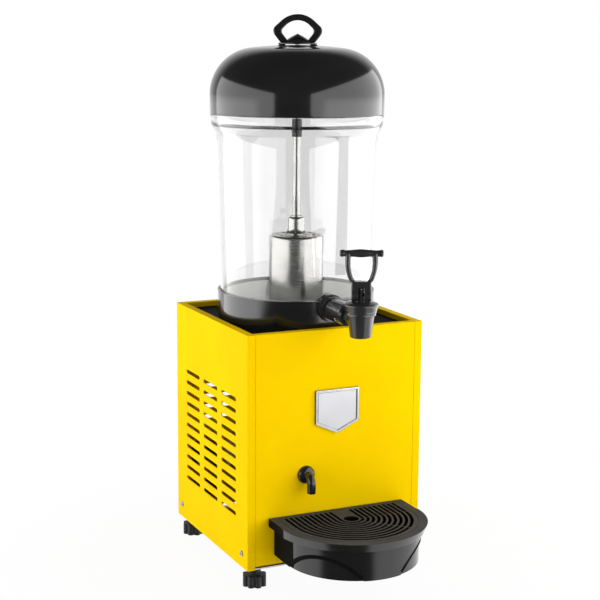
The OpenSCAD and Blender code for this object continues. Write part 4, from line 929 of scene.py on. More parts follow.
@dataclass
class CoolingColumn:
    """The steel can in the jar, the pump housing on it, the riser and the spray head."""

    nodes: Nodes
    can_edge: float = 4.0
    groove_deep: float = 1.2
    groove_in: tuple[float, float, float, float] = (8.0, 8.8, 11.5, 12.3)
    bolt_r: float = 2.6
    bolt_h: float = 2.0
    bolt_x: float = 0.6
    bolt_y: float = -0.3
    bell_low_r: float = 12.9
    bell_top_r: float = 9.8
    bell_h: float = 22.5
    bell_foot: float = 2.0
    bell_flare: float = 6.0
    bell_neck_r: float = 7.0
    bell_dome: float = 3.6
    bell_neck: float = 5.0
    ports: int = 6
    port_r: float = 1.6
    port_l: float = 16.0
    port_z: float = 4.0
    riser_r: float = 4.5
    riser_wall: float = 1.0
    spray_r: float = 5.9
    spray_l: float = 42.0
    spray_band: float = 0.5
    band_low: float = 8.0
    band_top: float = 12.0
    spray_cap_r: float = 11.0
    spray_cap_h: float = 2.5
    spray_hole_r: float = 3.7
    spray_hole_l: float = 3.0

    def build(self) -> None:
        """Builds the column from the bottom up."""
        low, high = box_mm("evaporator_can")
        centre = (0.0, (low.y + high.y) / 2, 0.0)
        top = box_mm("pump_housing")[0].z
        self.can(centre, (high.x - low.x) / 2, low.z, top)
        self.bell(centre, top)
        self.riser(centre)
        self.spray(centre)

    def can(self, centre: Place, radius: float, foot: float, top: float) -> None:
        """Models the can with a groove and a bolt on its top.

        Args:
            centre: Where its axis stands.
            radius: Its radius.
            foot: Height of its lower end.
            top: Height of its top.
        """
        a, b, c, d = (radius - inside for inside in self.groove_in)
        deep = top - self.groove_deep
        can = turn_piece("evaporator_can_dressed", rounded([
            (radius - 1, foot, 0), (radius, foot, 0.3), (radius, top, self.can_edge), (a, top, 0.6),
            (b, deep, 0.5), (c, deep, 0.5), (d, top, 0.5), (0, top, 0)]), centre)
        tip = top + self.bolt_h
        bolt = turn_piece("can_bolt", rounded([
            (self.bolt_r, top - 0.3, 0), (self.bolt_r, tip - 0.2, 0.7), (0, tip, 0)]),
            (radius * self.bolt_x, centre[1] + radius * self.bolt_y, 0), steps=24)
        settle(merge_pieces("evaporator_can_dressed", [can, bolt]), STAINLESS, "cabinet", "evaporator_can")

    def bell(self, centre: Place, foot: float) -> None:
        """Models the pump housing: a flared foot with ports, a straight body and a domed top.

        Args:
            centre: Where its axis stands.
            foot: Height of its lower end.
        """
        low_r, top_r, neck_r, top = self.bell_low_r, self.bell_top_r, self.bell_neck_r, foot + self.bell_h
        flare = [(top_r + (low_r - top_r) * (1 - k / 8) ** 2, foot + self.bell_foot + self.bell_flare * k / 8)
                 for k in range(9)]
        dome = [(neck_r + (top_r - neck_r) * math.cos(math.radians(a)),
                 top - self.bell_neck + self.bell_dome * math.sin(math.radians(a))) for a in range(0, 91, 10)]
        bell = turn_piece("pump_housing_dressed", [
            (low_r - 1, foot), (low_r, foot + 0.3), *flare, *dome, (neck_r, top - 0.3), (neck_r - 0.3, top),
            (self.riser_r, top)], centre, steps=64)
        drill = [(0, 0), (self.port_r, 0), (self.port_r, self.port_l), (0, self.port_l)]
        for k in range(self.ports):
            port = turn_piece("port", drill, axis=Axis.RIGHT, steps=16)
            put(port, (0, centre[1], foot + self.port_z), about_z(360 * k / self.ports))
            cut_away(bell, port)
        smooth(bell)
        settle(bell, STAINLESS, "cabinet", "pump_housing")

    def riser(self, centre: Place) -> None:
        """Models the thin tube from the pump to the spray head.

        Args:
            centre: Where its axis stands.
        """
        foot, top = (corner.z for corner in box_mm("riser_tube"))
        outer, inner = self.riser_r, self.riser_r - self.riser_wall
        tube = turn_piece("riser_tube_dressed", rounded([
            (inner, foot, 0), (outer, foot, 0.2), (outer, top, 0.3), (inner, top, 0.3), (inner, foot, 0)]),
            centre, steps=40)
        settle(tube, STAINLESS, "cabinet", "riser_tube")

    def spray(self, centre: Place) -> None:
        """Models the black spray head: a banded sleeve that opens into a cap.

        Args:
            centre: Where its axis stands.
        """
        foot, top = (corner.z for corner in box_mm("spray_head"))
        bore, sleeve, band, cap = (self.riser_r + 0.05, self.spray_r, self.spray_r + self.spray_band,
                                   self.spray_cap_r)
        head = turn_piece("spray_head_dressed", rounded([
            (bore, foot + 4, 0), (bore, foot, 0.2), (sleeve, foot, 0.5), (sleeve, foot + self.band_low, 0),
            (band, foot + self.band_low + 0.4, 0), (band, foot + self.band_top, 0),
            (sleeve, foot + self.band_top + 0.4, 0), (sleeve, foot + self.spray_l, 2),
            (cap, top - self.spray_cap_h, 0.6), (cap, top, 0.8), (self.spray_hole_r, top, 0.5),
            (self.spray_hole_r, top - self.spray_hole_l, 0)]), centre, steps=48)
        settle(head, SATIN_BLACK, "cabinet", "spray_head")


@dataclass
class LidSet:
    """The domed lid and its looped handle with a pointed crown inside the loop."""

    nodes: Nodes
    wall: float = 2.5
    wall_h: float = 22.0
    round_r: float = 54.0
    round_end: int = 83
    bore_r: float = 2.5
    plate_r: float = 22.5
    plate_top: float = 2.0
    loop_t: float = 8.5
    loop_edge: float = 1.5
    loop_outside: Corners = ((20, 0, 0), (31, 14, 7.5), (0, 42, 27.9))
    loop_inside: Corners = ((9, -1, 0), (20.3, 13.2, 5.5), (0, 33, 19.6))
    crown_r: float = 15.0
    crown_h: float = 10.4
    crown_power: float = 1.6
    foot_near: float = 14.5
    foot_far: float = 25.0
    foot_half: float = 6.5
    foot_drop: float = 2.2
    foot_top: float = 0.8
    foot_splay: float = 5.0
    foot_edge: float = 0.6
    turned: float = -20.0

    def dome(self, radius: float, low: float, inset_mm: float) -> Outline:
        """Gives the lid's outline from its rim to the middle.

        Args:
            radius: The lid's outer radius.
            low: Height of its rim.
            inset_mm: How far the outline lies inside the outer one.

        Returns:
            The outline's points, in millimetres.
        """
        corner = self.round_r - inset_mm
        middle = (radius - self.round_r, low + self.wall_h)
        arc = [(middle[0] + corner * math.cos(math.radians(self.round_end * k / 28)),
                middle[1] + corner * math.sin(math.radians(self.round_end * k / 28))) for k in range(29)]
        tilt = math.radians(90 - self.round_end)
        end_x, end_z = arc[-1]
        crown_r = end_x / math.sin(tilt)
        centre = end_z - crown_r * math.cos(tilt)
        steps = [end_x + (self.bore_r - end_x) * k / 8 for k in range(1, 9)]
        return arc + [(out, centre + math.sqrt(crown_r ** 2 - out ** 2)) for out in steps]

    def build(self) -> None:
        """Builds the lid and its handle."""
        low, high = box_mm("lid")
        radius, centre_y = (high.x - low.x) / 2, (low.y + high.y) / 2
        outside = self.dome(radius, low.z, 0.0)
        inside = self.dome(radius, low.z, self.wall)
        wall_in, wall_top = radius - self.wall, low.z + self.wall_h - 2
        rim = rounded([(wall_in, wall_top, 0), (wall_in, low.z, 0.6), (radius, low.z, 1.0),
                       (radius, wall_top, 0)])
        lid = turn_piece("lid_dressed", rim + outside + inside[::-1] + rim[:1], (0, centre_y, 0), steps=160)
        settle(lid, GLOSS_BLACK, "lid", "lid")
        self.handle(centre_y, high.z)

    def whole(self, half: Corners) -> Outline:
        """Mirrors the right half of the loop's outline and rounds its corners."""
        return rounded([*half, *((-x, z, radius) for x, z, radius in reversed(half[:-1]))], 12)

    def handle(self, centre_y: float, base: float) -> None:
        """Models the loop, its footed plate and the crown.

        Args:
            centre_y: Where the lid's axis is, in millimetres.
            base: Height of the lid's top, in millimetres.
        """
        loop = plate_piece("loop", self.whole(self.loop_outside), self.loop_t)
        cut_away(loop, plate_piece("loop_window", self.whole(self.loop_inside), 2 * self.loop_t))
        round_edges(loop, self.loop_edge, 3)
        put(loop, (0, 0, self.plate_top))
        plate = turn_piece("plate", rounded([
            (3, 0.1, 0), (self.plate_r - 2, 0.1, 0), (self.plate_r, 0.3, 0.3),
            (self.plate_r, self.plate_top, 0.6), (0, self.plate_top, 0)]), steps=64)
        crown = turn_piece("crown", [
            (self.crown_r * (1 - (k / 14) ** self.crown_power), self.plate_top - 0.2 + self.crown_h * k / 14)
            for k in range(15)], steps=64)
        feet = []
        for side in (-1, 1):
            near, far = sorted((side * self.foot_near, side * self.foot_far))
            foot = block("pad", (near, -self.foot_half, -self.foot_drop),
                         (far, self.foot_half, self.foot_top))
            pick(foot, Pick.POINTS, lambda p, n: p.z > 0 and abs(p.x) > self.foot_far - 1)
            bpy.ops.transform.translate(value=(-side * self.foot_splay * MM, 0, 0))
            leave()
            round_edges(foot, self.foot_edge, 3)
            feet.append(foot)
        handle = merge_pieces("lid_handle_dressed", [loop, plate, crown, *feet])
        put(handle, (0, centre_y, base), about_z(self.turned))
        smooth(handle, 40)
        settle(handle, GLOSS_BLACK, "lid", "lid_handle")


@dataclass
class Tap:
    """The tap: barrel, spout, bonnet, stem and the lever with its T-bar."""

    nodes: Nodes
    tap_y: float = -111.8
    tap_z: float = 314.0
    pin_z: float = 340.9
    spout_z: float = 294.5
    cup_z: float = 322.0
    window_z: float = 355.4
    barrel_edge: float = 0.5
    screw_r: float = 2.1
    screw_h: float = 0.5
    screw_hole_r: float = 1.2
    screw_turn: float = 156.0
    screw_y: float = -74.3
    screw_out: float = 13.6
    spout_r: float = 11.6
    cup_r: float = 15.0
    cup_lip: float = 1.6
    cup_in: float = 12.4
    collar_h: float = 2.6
    bore_r: float = 6.5
    bore_h: float = 12.0
    bonnet_r: float = 19.2
    bonnet_flat_r: float = 12.2
    bonnet_top: float = 334.6
    skirt_out: float = 2.2
    skirt_h: float = 2.4
    stem_hole_r: float = 4.1
    neck_r: float = 8.5
    neck_l: float = 26.8
    spigot_r: float = 7.0
    spigot_l: float = 35.9
    fork_w: float = 21.4
    fork_edge: float = 1.2
    cam_r: float = 6.0
    cam_flat: float = 3.0
    cam_edge: float = 1.0
    arms_w: float = 18.0
    arms_power: float = 0.6
    arms_full: float = 0.75
    arm_low_r: float = 2.5
    arm_grow: float = 0.9
    arm_deep: float = 1.2
    bar_l: float = 48.5
    bar_r: float = 3.3
    bar_middle: float = 1.2
    bar_ends: float = 0.9
    bar_round: float = 2.5
    bar_neck: float = 17.5
    slot_w: float = 6.4
    slot_up: float = 9.0
    slot_l: float = 40.0
    stem_r: float = 3.0
    stem_tip: float = 8.4
    rivet_r: float = 1.2
    rivet_up: float = 6.9
    turned: float = -25.0
    voxel: float = 0.45
    relax_share: float = 0.5
    relax_turns: int = 6

    def build(self) -> None:
        """Builds the tap from the jar outwards."""
        dress_copy(self.nodes, "tap_barrel", SATIN_BLACK, "cabinet", self.barrel_edge)
        self.barrel_screw()
        self.spout()
        self.bonnet()
        self.stem()
        self.lever()

    def barrel_screw(self) -> None:
        """Models the small bright screw on the side of the barrel."""
        top, hole = self.screw_h, self.screw_hole_r
        screw = turn_piece("barrel_screw", rounded([
            (0, -1, 0), (self.screw_r, -1, 0), (self.screw_r, top, 0.3), (hole, top, 0.1), (hole, 0, 0.1),
            (0, 0, 0)]), steps=32)
        turn = math.radians(self.screw_turn)
        out = Vector((math.cos(turn), 0, -math.sin(turn)))
        put(screw, Vector((0, self.screw_y, self.tap_z)) + out * self.screw_out,
            out.to_track_quat("Z", "Y").to_euler())
        settle(screw, STAINLESS, "cabinet")

    def spout(self) -> None:
        """Models the tapered spout, its collar and the neck that joins the barrel."""
        z, cup, collar = self.spout_z, self.cup_z, self.cup_r + self.cup_lip
        under = cup - self.collar_h
        cone = turn_piece("spout", rounded([
            (self.bore_r, z + self.bore_h, 0), (self.bore_r, z, 0.8), (self.spout_r, z, 1.6),
            (self.cup_r, under - 0.6, 0.3), (collar, under, 0.4), (collar, cup, 0.4), (self.cup_in, cup, 0),
            (self.cup_in, cup + 3, 0)]), (0, self.tap_y, 0), steps=72)
        neck = turn_piece("neck", rounded([
            (0, 0, 0), (self.neck_r, 0, 0), (self.neck_r, self.neck_l, 0.6), (self.spigot_r, self.neck_l, 0),
            (self.spigot_r, self.spigot_l, 0)]), (0, self.tap_y, self.tap_z - 1), Axis.BACK, 48)
        settle(merge_pieces("tap_body_dressed", [cone, neck]), SATIN_BLACK, "cabinet", "tap_body")

    def bonnet(self) -> None:
        """Models the bonnet: a ridged skirt, a wide rim and a sloping top."""
        z, top, rim = self.cup_z + 0.2, self.bonnet_top, self.bonnet_r
        skirt, ridge = self.cup_r + self.skirt_out, z + self.skirt_h
        bonnet = turn_piece("tap_bonnet_dressed", rounded([
            (self.cup_in + 0.1, z, 0), (skirt, z, 0.4), (skirt, ridge, 0.3), (skirt + 0.8, ridge + 0.4, 0.3),
            (rim, top - 4.2, 0.6), (rim, top - 3, 0.5), (rim - 1, top - 2.2, 0.4),
            (self.bonnet_flat_r, top, 0.6), (self.stem_hole_r, top, 0.3), (self.stem_hole_r, top - 6, 0)]),
            (0, self.tap_y, 0), steps=80)
        settle(bonnet, SATIN_BLACK, "cabinet", "tap_bonnet")

    def stem(self) -> None:
        """Models the dark stem, its small steel rivet and the pin, which show in the lever's slot."""
        foot, tip = box_mm("tap_stem")[0].z, self.pin_z + self.stem_tip
        stem = turn_piece("tap_stem_dressed", rounded([
            (0, foot, 0), (self.stem_r, foot, 0.4), (self.stem_r, tip, 0.8), (0, tip, 0)]),
            (0, self.tap_y, 0), steps=32)
        settle(stem, SATIN_BLACK, "tap_valve", "tap_stem")
        out = self.stem_r + 0.2
        rivet = turn_piece("stem_rivet", rounded([
            (0, 0, 0), (self.rivet_r, 0, 0), (self.rivet_r, out, 0.7), (0, out, 0)]),
            axis=Axis.FRONT, steps=20)
        put(rivet, (0, self.tap_y, self.pin_z + self.rivet_up), about_z(self.turned))
        settle(rivet, STAINLESS, "tap_valve")
        settle(copy_of(self.nodes, "tap_pin"), SATIN_BLACK, "tap_lever", "tap_pin")

    def half_width(self, share: float) -> float:
        """Gives the lever's outer half width at a share of its window's height."""
        spread = math.sin(math.pi / 2 * min(1.0, share / self.arms_full)) ** self.arms_power
        return self.fork_w / 2 + (self.arms_w - self.fork_w / 2) * spread

    def fork(self) -> list[bpy.types.Object]:
        """Models the lever's foot: a block over a cam with round ends.

        Returns:
            Its pieces.
        """
        wide, cam, flat = self.fork_w, self.cam_r, self.cam_flat
        foot = block("fork", (-wide / 2, -cam, self.pin_z - 1), (wide / 2, cam, self.window_z + 1.2))
        round_edges(foot, self.fork_edge, 3)
        middle = block("cam", (-wide / 2, -flat, self.pin_z - cam), (wide / 2, flat, self.pin_z + cam))
        ends = [turn_piece("cam_end", rounded([
            (0, 0, 0), (cam, 0, self.cam_edge), (cam, wide, self.cam_edge), (0, wide, 0)]),
            (-wide / 2, side * flat, self.pin_z), Axis.RIGHT, 40) for side in (-1, 1)]
        return [foot, middle, *ends]

    def arm(self, side: int, bar_z: float) -> bpy.types.Object:
        """Models one bowed arm beside the lever's window.

        Args:
            side: -1 for the left arm and 1 for the right arm.
            bar_z: Height of the T-bar's middle.

        Returns:
            The arm.
        """
        steps = 18
        path, radii = [], []
        for k in range(-2, steps + 1):
            share = max(k, 0) / steps
            thick = self.arm_low_r + self.arm_grow * share
            path.append((side * (self.half_width(share) - thick), 0.0,
                         self.window_z + (bar_z - self.window_z) * k / steps))
            radii.append(thick)
        arm = bend_bar("arm", path, radii)
        arm.scale = (1, self.arm_deep, 1)
        set_down(arm)
        return arm

    def grip(self, bar_z: float) -> bpy.types.Object:
        """Models the T-bar: thick in the middle, waisted, and wider again at its round ends.

        Args:
            bar_z: Height of its middle.

        Returns:
            The bar.
        """
        outline = []
        half, neck = self.bar_l / 2, self.bar_neck
        for k in range(61):
            along = self.bar_l * k / 60
            edge, out = min(along, self.bar_l - along), abs(along - half)
            if out < neck:
                radius = self.bar_r + self.bar_middle * math.cos(math.pi / 2 * out / neck) ** 2
            else:
                radius = self.bar_r + self.bar_ends * math.sin(math.pi / 2 * (out - neck) / (half - neck))
            if edge < self.bar_round:
                radius *= math.sqrt(max(0.0, 1 - (1 - edge / self.bar_round) ** 2))
            outline.append((radius, along))
        return turn_piece("grip", outline, (-half, 0, bar_z), Axis.RIGHT, 40)

    def lever(self) -> None:
        """Joins the fork, the arms and the T-bar, blended like one moulding, and cuts the stem's slot."""
        bar_z = box_mm("tap_handle")[1].z - self.bar_r - self.bar_middle
        arms = [self.arm(side, bar_z) for side in (-1, 1)]
        lever = merge_pieces("tap_handle_dressed", [*self.fork(), *arms, self.grip(bar_z)])
        blend = lever.modifiers.new("blend", "REMESH")
        blend.mode = "VOXEL"
        blend.voxel_size = self.voxel * MM
        relax = lever.modifiers.new("relax", "SMOOTH")
        relax.factor = self.relax_share
        relax.iterations = self.relax_turns
        apply_all(lever)
        wide, long = self.slot_w / 2, self.slot_l / 2
        cut_away(lever, block("slot", (-wide, -long, self.pin_z - self.cam_r - 2),
                              (wide, long, self.pin_z + self.slot_up)))
        put(lever, (0, self.tap_y, 0), about_z(self.turned))
        smooth(lever, 50)
        settle(lever, SATIN_BLACK, "tap_lever", "tap_handle")


@dataclass
class DripTray:
    """The drip tray and its lift-out grille."""

    nodes: Nodes
    leg: float = 38.0
    lip_over: float = 8.0
    lip_h: float = 9.5
    slope_w: float = 3.5
    slope_run: float = 40.0
    slope_steps: int = 8
    arch_h: float = 24.0
    arch_turn: float = 52.0
    arch_half: float = 35.0
    band_r: float = 3.4
    band_in: float = 2.7
    band_t: float = 1.5
    edge: float = 0.9

    def build(self) -> None:
        """Shapes the tray's rim and flanks, adds the flat-black bands that paint the shade along the arches
        and rounds the edges.
        """
        tray = copy_of(self.nodes, "drip_tray")
        self.slope(tray)
        for side in (-1, 1):
            self.flank(tray, side)
        round_edges(tray, self.edge, 3)
        self.paint_tops_and_sides(tray)
        settle(tray, TRAY_BLACK, "tray", "drip_tray")
        for side in (-1, 1):
            self.arch(side)
        grille = copy_of(self.nodes, "drip_grille")
        round_edges(grille, self.edge, 3)
        self.paint_tops_and_sides(grille)
        settle(grille, TRAY_BLACK, "grille", "drip_grille")

    def slope(self, tray: bpy.types.Object) -> None:
        """Draws in the round rim's lower edge step by step, so that its outside slopes towards the wall.

        Args:
            tray: The tray.
        """
        low, high = box_mm("drip_tray")
        middle_y, under = high.y - self.leg, high.z - self.lip_h
        radius = middle_y - low.y
        share = 1 - self.slope_w / radius / self.slope_steps
        for k in range(self.slope_steps):
            start = middle_y - 0.5 - k * self.slope_run / self.slope_steps
            pick(tray, Pick.POINTS, lambda p, n: abs(p.z - under) < NEAR and p.y < start
                 and math.hypot(p.x, p.y - middle_y) > radius - self.slope_w - 0.5)
            bpy.ops.transform.resize(value=(share, share, 1),
                                     center_override=Vector((0, middle_y, under)) * MM)
            leave()

    def flank(self, tray: bpy.types.Object, side: int) -> None:
        """Cuts one flat side of the tray flush with its round wall, under the overhanging rim.

        Args:
            tray: The tray.
            side: -1 for the left side and 1 for the right side.
        """
        low, high = box_mm("drip_tray")
        wall_r = high.y - low.y - self.leg - self.lip_over
        near, far = sorted((side * wall_r, side * (high.x + 2)))
        cut_away(tray, block("flank_cut", (near, high.y - self.leg - 1, low.z - 2),
                             (far, high.y + 2, high.z - self.lip_h)))

    def arch(self, side: int) -> None:
        """Models the flat-black band that borders one arched hollow of the wall, as painted shade along the
        arch's edge.

        Args:
            side: -1 for the left arch and 1 for the right arch.
        """
        low, high = box_mm("drip_tray")
        wall_r = high.y - low.y - self.leg - self.lip_over
        span = wall_r * math.sin(math.radians(self.arch_half))
        arch_r = (span ** 2 + self.arch_h ** 2) / (2 * self.arch_h)
        reach = math.asin((arch_r - self.arch_h + self.band_r) / arch_r)
        path = []
        for k in range(41):
            turn = (math.pi / 2 - reach) * (k / 20 - 1)
            x = arch_r * math.sin(turn)
            path.append((x, -math.sqrt((wall_r - self.band_in) ** 2 - x ** 2),
                         low.z + self.arch_h - arch_r + arch_r * math.cos(turn)))
        band = bend_bar("tray_arch_painted_shade_band", path, [self.band_r] * len(path), 16)
        inside, under = wall_r - self.band_t, low.z - 9
        bowl = [(0, under), (inside, under), (inside, high.z), (0, high.z)]
        cut_away(band, turn_piece("bowl", bowl, steps=128))
        put(band, (0, high.y - self.leg, 0), about_z(side * self.arch_turn))
        # The band's flat black is painted shade along the arch's edge.
        settle(band, FLAT_BLACK_AND_PAINTED_SHADE, "tray")

    def paint_tops_and_sides(self, obj: bpy.types.Object) -> None:
        """Paints the flat tops of a piece a lighter, fine-textured grey as a painted sheen, and gives its
        flat sides a darker matt black than its own.

        Args:
            obj: The tray or the grille.
        """
        for finish in (TRAY_BLACK, GRILLE_TOP_PAINTED_SHEEN, FLAT_BLACK_AND_PAINTED_SHADE):
            obj.data.materials.append(finish.material())
        # Flat tops take the lighter grey, a painted sheen; flat sides take the darker matt black.
        for face in obj.data.polygons:
            if face.normal.z > STRAIGHT:
                face.material_index = 1
            elif abs(face.normal.x) > STRAIGHT:
                face.material_index = 2


@dataclass
class Feet:
    """The four levelling feet."""

    nodes: Nodes
    edge: float = 0.9

    def build(self) -> None:
        """Rounds the edges of each foot."""
        for end, body in (("front_left", "foot_fl"), ("front_right", "foot_fr"), ("back_left", "foot_bl"),
                          ("back_right", "foot_br")):
            dress_copy(self.nodes, f"foot_{end}", RUBBER, body, self.edge, 3)


@dataclass
class Controls:
    """The two rockers in their frame, the thermostat knob and the mains inlet, all at the back."""

    nodes: Nodes
    case_edge: float = 0.6
    moving_edge: float = 0.5

    def build(self) -> None:
        """Rounds the edges of the controls."""
        for node, finish, body, edge in (
                ("switch_frame", GLOSS_BLACK, "cabinet", self.case_edge),
                ("mains_inlet", SATIN_BLACK, "cabinet", self.case_edge),
                ("thermostat_knob", SATIN_BLACK, "thermostat_dial", self.moving_edge),
                ("power_rocker", RED, "power_switch", self.moving_edge),
                ("pump_rocker", GLOSS_BLACK, "pump_switch", self.moving_edge)):
            dress_copy(self.nodes, node, finish, body, edge)


@dataclass
class InnerWorks:
    """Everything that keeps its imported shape: it is seen through slots or from below, if at all."""

    nodes: Nodes
    record: dict

    def dress(self) -> None:
        """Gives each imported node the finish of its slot."""
        for part in self.record["subparts"]:
            finish = BY_SLOT[part["material_slot"]]
            node = self.nodes[part["node"]]
            if not node.material_slots:
                node.data.materials.append(finish.material())
            for slot in node.material_slots:
                slot.material = finish.material()
            LOG.info("%s: %s", part["node"], finish.name)


@dataclass
class Studio:
    """The floor, the two large soft lamps, the white backdrop and the camera."""

    yaw: float = 0.441253387
    pitch: float = -0.179933937
    roll: float = 0.00783015899
    lens: float = 84.469
    eye: Place = (-0.701385, -1.441774, 0.608516)
    aim_y: float = 0.055
    left_panel: tuple[tuple[float, float], tuple[float, float]] = ((-0.45, 0.84), (-2.09, -1.47))
    right_panel: tuple[tuple[float, float], tuple[float, float]] = ((0.72, 0.4), (-0.38, -2.7))
    panel_low: float = 0.06
    panel_top: float = 0.85
    radiance: float = 2.2
    fill: float = 0.25
    room: float = 0.1
    backdrop: float = 0.9
    backdrop_way: Place = (0.42, 0.9, -0.1)
    backdrop_edge: tuple[float, float] = (0.5, 0.9)
    table: float = 1.4
    front_way: Place = (-0.55, -0.83, 0.0)
    front_edge: tuple[float, float] = (0.62, 0.8)
    horizon: tuple[float, float] = (-0.02, -0.06)
    floor_r: float = 4.0
    floor_y: float = 0.05
    floor_white: float = 0.95
    white_edge: tuple[float, float] = (0.2, 0.5)
    card_away: float = 2.6
    left_card: Sequence[tuple[float, float]] = (
        (-138, 310), (-58, 312), (-107, 284), (-103, 28), (-125, 24), (-134, 284))
    right_card: Sequence[tuple[float, float]] = (
        (45, 314), (113, 314), (113, 102), (109, 46), (80, 46), (88, 286))
    left_grey: float = 0.72
    right_grey: float = 0.5

    def build(self) -> None:
        """Builds the camera, the floor, the lamps and the world."""
        bpy.context.scene.view_settings.view_transform = "Standard"
        self.camera()
        self.floor()
        self.panel("left_softbox", *self.left_panel)
        self.panel("right_softbox", *self.right_panel)
        self.card("left_card", self.left_card, self.left_grey)
        self.card("right_card", self.right_card, self.right_grey)
        self.world()

    def camera(self) -> None:
        """Places the camera where the photograph was taken."""
        ahead = Vector((math.sin(self.yaw) * math.cos(self.pitch), math.cos(self.yaw) * math.cos(self.pitch),
                        math.sin(self.pitch)))
        level = Vector((math.cos(self.yaw), -math.sin(self.yaw), 0.0))
        lift = level.cross(ahead)
        right = level * math.cos(self.roll) + lift * math.sin(self.roll)
        up = lift * math.cos(self.roll) - level * math.sin(self.roll)
        bpy.ops.object.camera_add()
        camera = name_new("camera")
        camera.data.sensor_fit = "HORIZONTAL"
        camera.data.sensor_width = 36.0
        camera.data.lens = self.lens
        camera.data.clip_end = 30.0
        turn = Matrix((right, up, -ahead)).transposed().to_4x4()
        camera.matrix_world = Matrix.Translation(self.eye) @ turn
        bpy.context.scene.camera = camera

    def card(self, name: str, outline: Sequence[tuple[float, float]], grey: float) -> None:
        """Hangs a grey card behind the jar, which shows only through its clear wall.

        Args:
            name: The card's name.
            outline: Its corners in millimetres, right of and above the middle of the view.
            grey: Its brightness beside the white backdrop.
        """
        card = plate_piece(name, outline, 1.0)
        away = Matrix.Translation((0, 0, -self.card_away)) @ Matrix.Rotation(math.radians(-90), 4, "X")
        card.matrix_world = bpy.context.scene.camera.matrix_world @ away
        set_down(card)
        material = bpy.data.materials.new(f"{name}_paper")
        tree = blank(material)
        paper = add_node(tree, "ShaderNodeEmission", {"Color": (1, 1, 1, 1), "Strength": grey})
        add_node(tree, "ShaderNodeOutputMaterial", {"Surface": paper.outputs[0]})
        card.data.materials.append(material)
        card.visible_camera = False
        card.visible_diffuse = False
        card.visible_glossy = False
        card.visible_shadow = False

    def panel(self, name: str, near: tuple[float, float], far: tuple[float, float]) -> None:
        """Adds an upright soft panel that faces the object.

        Args:
            name: The panel's name.
            near: Where its end beside the object stands, in metres.
            far: Where its end beside the camera stands, in metres.
        """
        middle = Vector(((near[0] + far[0]) / 2, (near[1] + far[1]) / 2,
                         (self.panel_low + self.panel_top) / 2))
        along = Vector((far[0] - near[0], far[1] - near[1], 0))
        face = along.cross(Vector((0, 0, 1)))
        if face.dot(Vector((0, self.aim_y, middle.z)) - middle) < 0:
            face = -face
        bpy.ops.object.light_add(type="AREA", location=middle)
        lamp = name_new(name)
        lamp.data.shape = "RECTANGLE"
        lamp.data.size = along.length
        lamp.data.size_y = self.panel_top - self.panel_low
        lamp.data.energy = self.radiance * math.pi * lamp.data.size * lamp.data.size_y
        lamp.rotation_euler = face.to_track_quat("-Z", "Y").to_euler()
        lamp.visible_camera = False

    def floor(self) -> None:
        """Adds the pale floor, which keeps the shadow and turns white away from the object."""
        bpy.ops.object.select_all(action="DESELECT")
        bpy.ops.mesh.primitive_circle_add(vertices=96, radius=self.floor_r, fill_type="NGON",
                                          location=(0, self.floor_y, 0))
        floor = name_new("studio_floor")
        set_down(floor)
        material = bpy.data.materials.new("painted_studio_floor")
        tree = blank(material)
        place = add_node(tree, "ShaderNodeTexCoord").outputs["Object"]
        far = add_node(tree, "ShaderNodeVectorMath", {0: place}, operation="LENGTH").outputs["Value"]
        white = add_node(tree, "ShaderNodeMapRange", {
            "Value": far, "From Min": self.white_edge[0], "From Max": self.white_edge[1],
            "To Min": self.floor_white}, interpolation_type="SMOOTHSTEP").outputs[0]
        seen = add_node(tree, "ShaderNodeLightPath").outputs["Is Camera Ray"]
        share = add_node(tree, "ShaderNodeMath", {0: white, 1: seen}, operation="MULTIPLY").outputs[0]
        grain = add_node(tree, "ShaderNodeTexNoise", {"Vector": place, "Scale": 40.0}).outputs[0]
        gloss = add_node(tree, "ShaderNodeMapRange", {
            "Value": grain, "To Min": 0.6, "To Max": 0.7}).outputs[0]
        paint = add_node(tree, "ShaderNodeBsdfPrincipled", {
            "Base Color": colour("#F4F4F4"), "Roughness": gloss})
        glow = add_node(tree, "ShaderNodeEmission", {"Color": (1, 1, 1, 1), "Strength": 1.0})
        mixed = add_node(tree, "ShaderNodeMixShader", {0: share, 1: paint.outputs[0], 2: glow.outputs[0]})
        add_node(tree, "ShaderNodeOutputMaterial", {"Surface": mixed.outputs[0]})
        floor.data.materials.append(material)
        floor.visible_glossy = False
        floor.visible_transmission = False

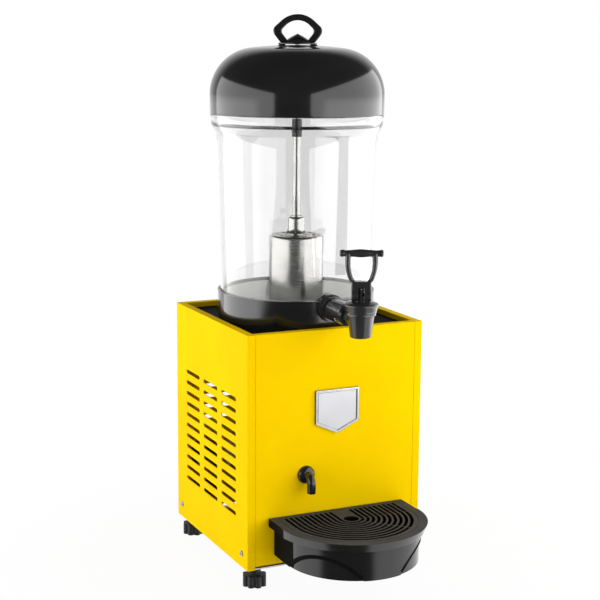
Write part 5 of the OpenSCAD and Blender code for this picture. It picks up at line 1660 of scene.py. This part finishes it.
    def world(self) -> None:
        """Makes a white backdrop behind the object, a darker room in front and an even fill light."""
        world = bpy.data.worlds.new("studio")
        bpy.context.scene.world = world
        tree = blank(world)
        towards = add_node(tree, "ShaderNodeTexCoord").outputs["Generated"]
        back = add_node(tree, "ShaderNodeVectorMath", {0: towards, 1: self.backdrop_way},
                        operation="DOT_PRODUCT").outputs["Value"]
        drop = add_node(tree, "ShaderNodeMapRange", {
            "Value": back, "From Min": self.backdrop_edge[0], "From Max": self.backdrop_edge[1],
            "To Min": self.room, "To Max": self.backdrop}, interpolation_type="SMOOTHSTEP").outputs[0]
        flat = add_node(tree, "ShaderNodeVectorMath", {0: towards, 1: (1.0, 1.0, 0.0)},
                        operation="MULTIPLY").outputs[0]
        level = add_node(tree, "ShaderNodeVectorMath", {0: flat}, operation="NORMALIZE").outputs[0]
        front = add_node(tree, "ShaderNodeVectorMath", {0: level, 1: self.front_way},
                         operation="DOT_PRODUCT").outputs["Value"]
        table = add_node(tree, "ShaderNodeMapRange", {
            "Value": front, "From Min": self.front_edge[0], "From Max": self.front_edge[1],
            "To Min": self.table, "To Max": self.room}, interpolation_type="SMOOTHSTEP").outputs[0]
        up = add_node(tree, "ShaderNodeSeparateXYZ", {0: towards}).outputs["Z"]
        under = add_node(tree, "ShaderNodeMapRange", {
            "Value": up, "From Min": self.horizon[0], "From Max": self.horizon[1]}).outputs[0]
        shine = add_node(tree, "ShaderNodeMix", {0: under, 2: drop, 3: table}, data_type="FLOAT").outputs[0]
        path = add_node(tree, "ShaderNodeLightPath").outputs
        room = add_node(tree, "ShaderNodeMix", {0: path["Is Glossy Ray"], 2: self.fill, 3: shine},
                        data_type="FLOAT").outputs[0]
        room = add_node(tree, "ShaderNodeMix", {0: path["Is Transmission Ray"], 2: room, 3: drop},
                        data_type="FLOAT").outputs[0]
        strength = add_node(tree, "ShaderNodeMath", {0: room, 1: path["Is Camera Ray"]},
                            operation="MAXIMUM").outputs[0]
        sky = add_node(tree, "ShaderNodeBackground", {"Color": (1, 1, 1, 1), "Strength": strength})
        add_node(tree, "ShaderNodeOutputWorld", {"Surface": sky.outputs[0]})


def corners(box: Sequence[Vector]) -> list[list[float]]:
    """Turns a box into plain lists of numbers."""
    return [list(map(float, corner)) for corner in box]


def main() -> None:
    """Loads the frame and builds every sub-assembly in order."""
    logging.basicConfig(level=logging.INFO, format="%(message)s")
    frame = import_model()
    nodes: Nodes = frame["nodes"]
    InnerWorks(nodes, frame["record"]).dress()
    Studio().build()
    for assembly in (Cabinet(nodes), JarSet(nodes), CoolingColumn(nodes), LidSet(nodes), Tap(nodes),
                     DripTray(nodes), Feet(nodes), Controls(nodes)):
        assembly.build()
        LOG.info("%s is built", type(assembly).__name__)
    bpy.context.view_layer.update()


if __name__ == "__main__":
    main()
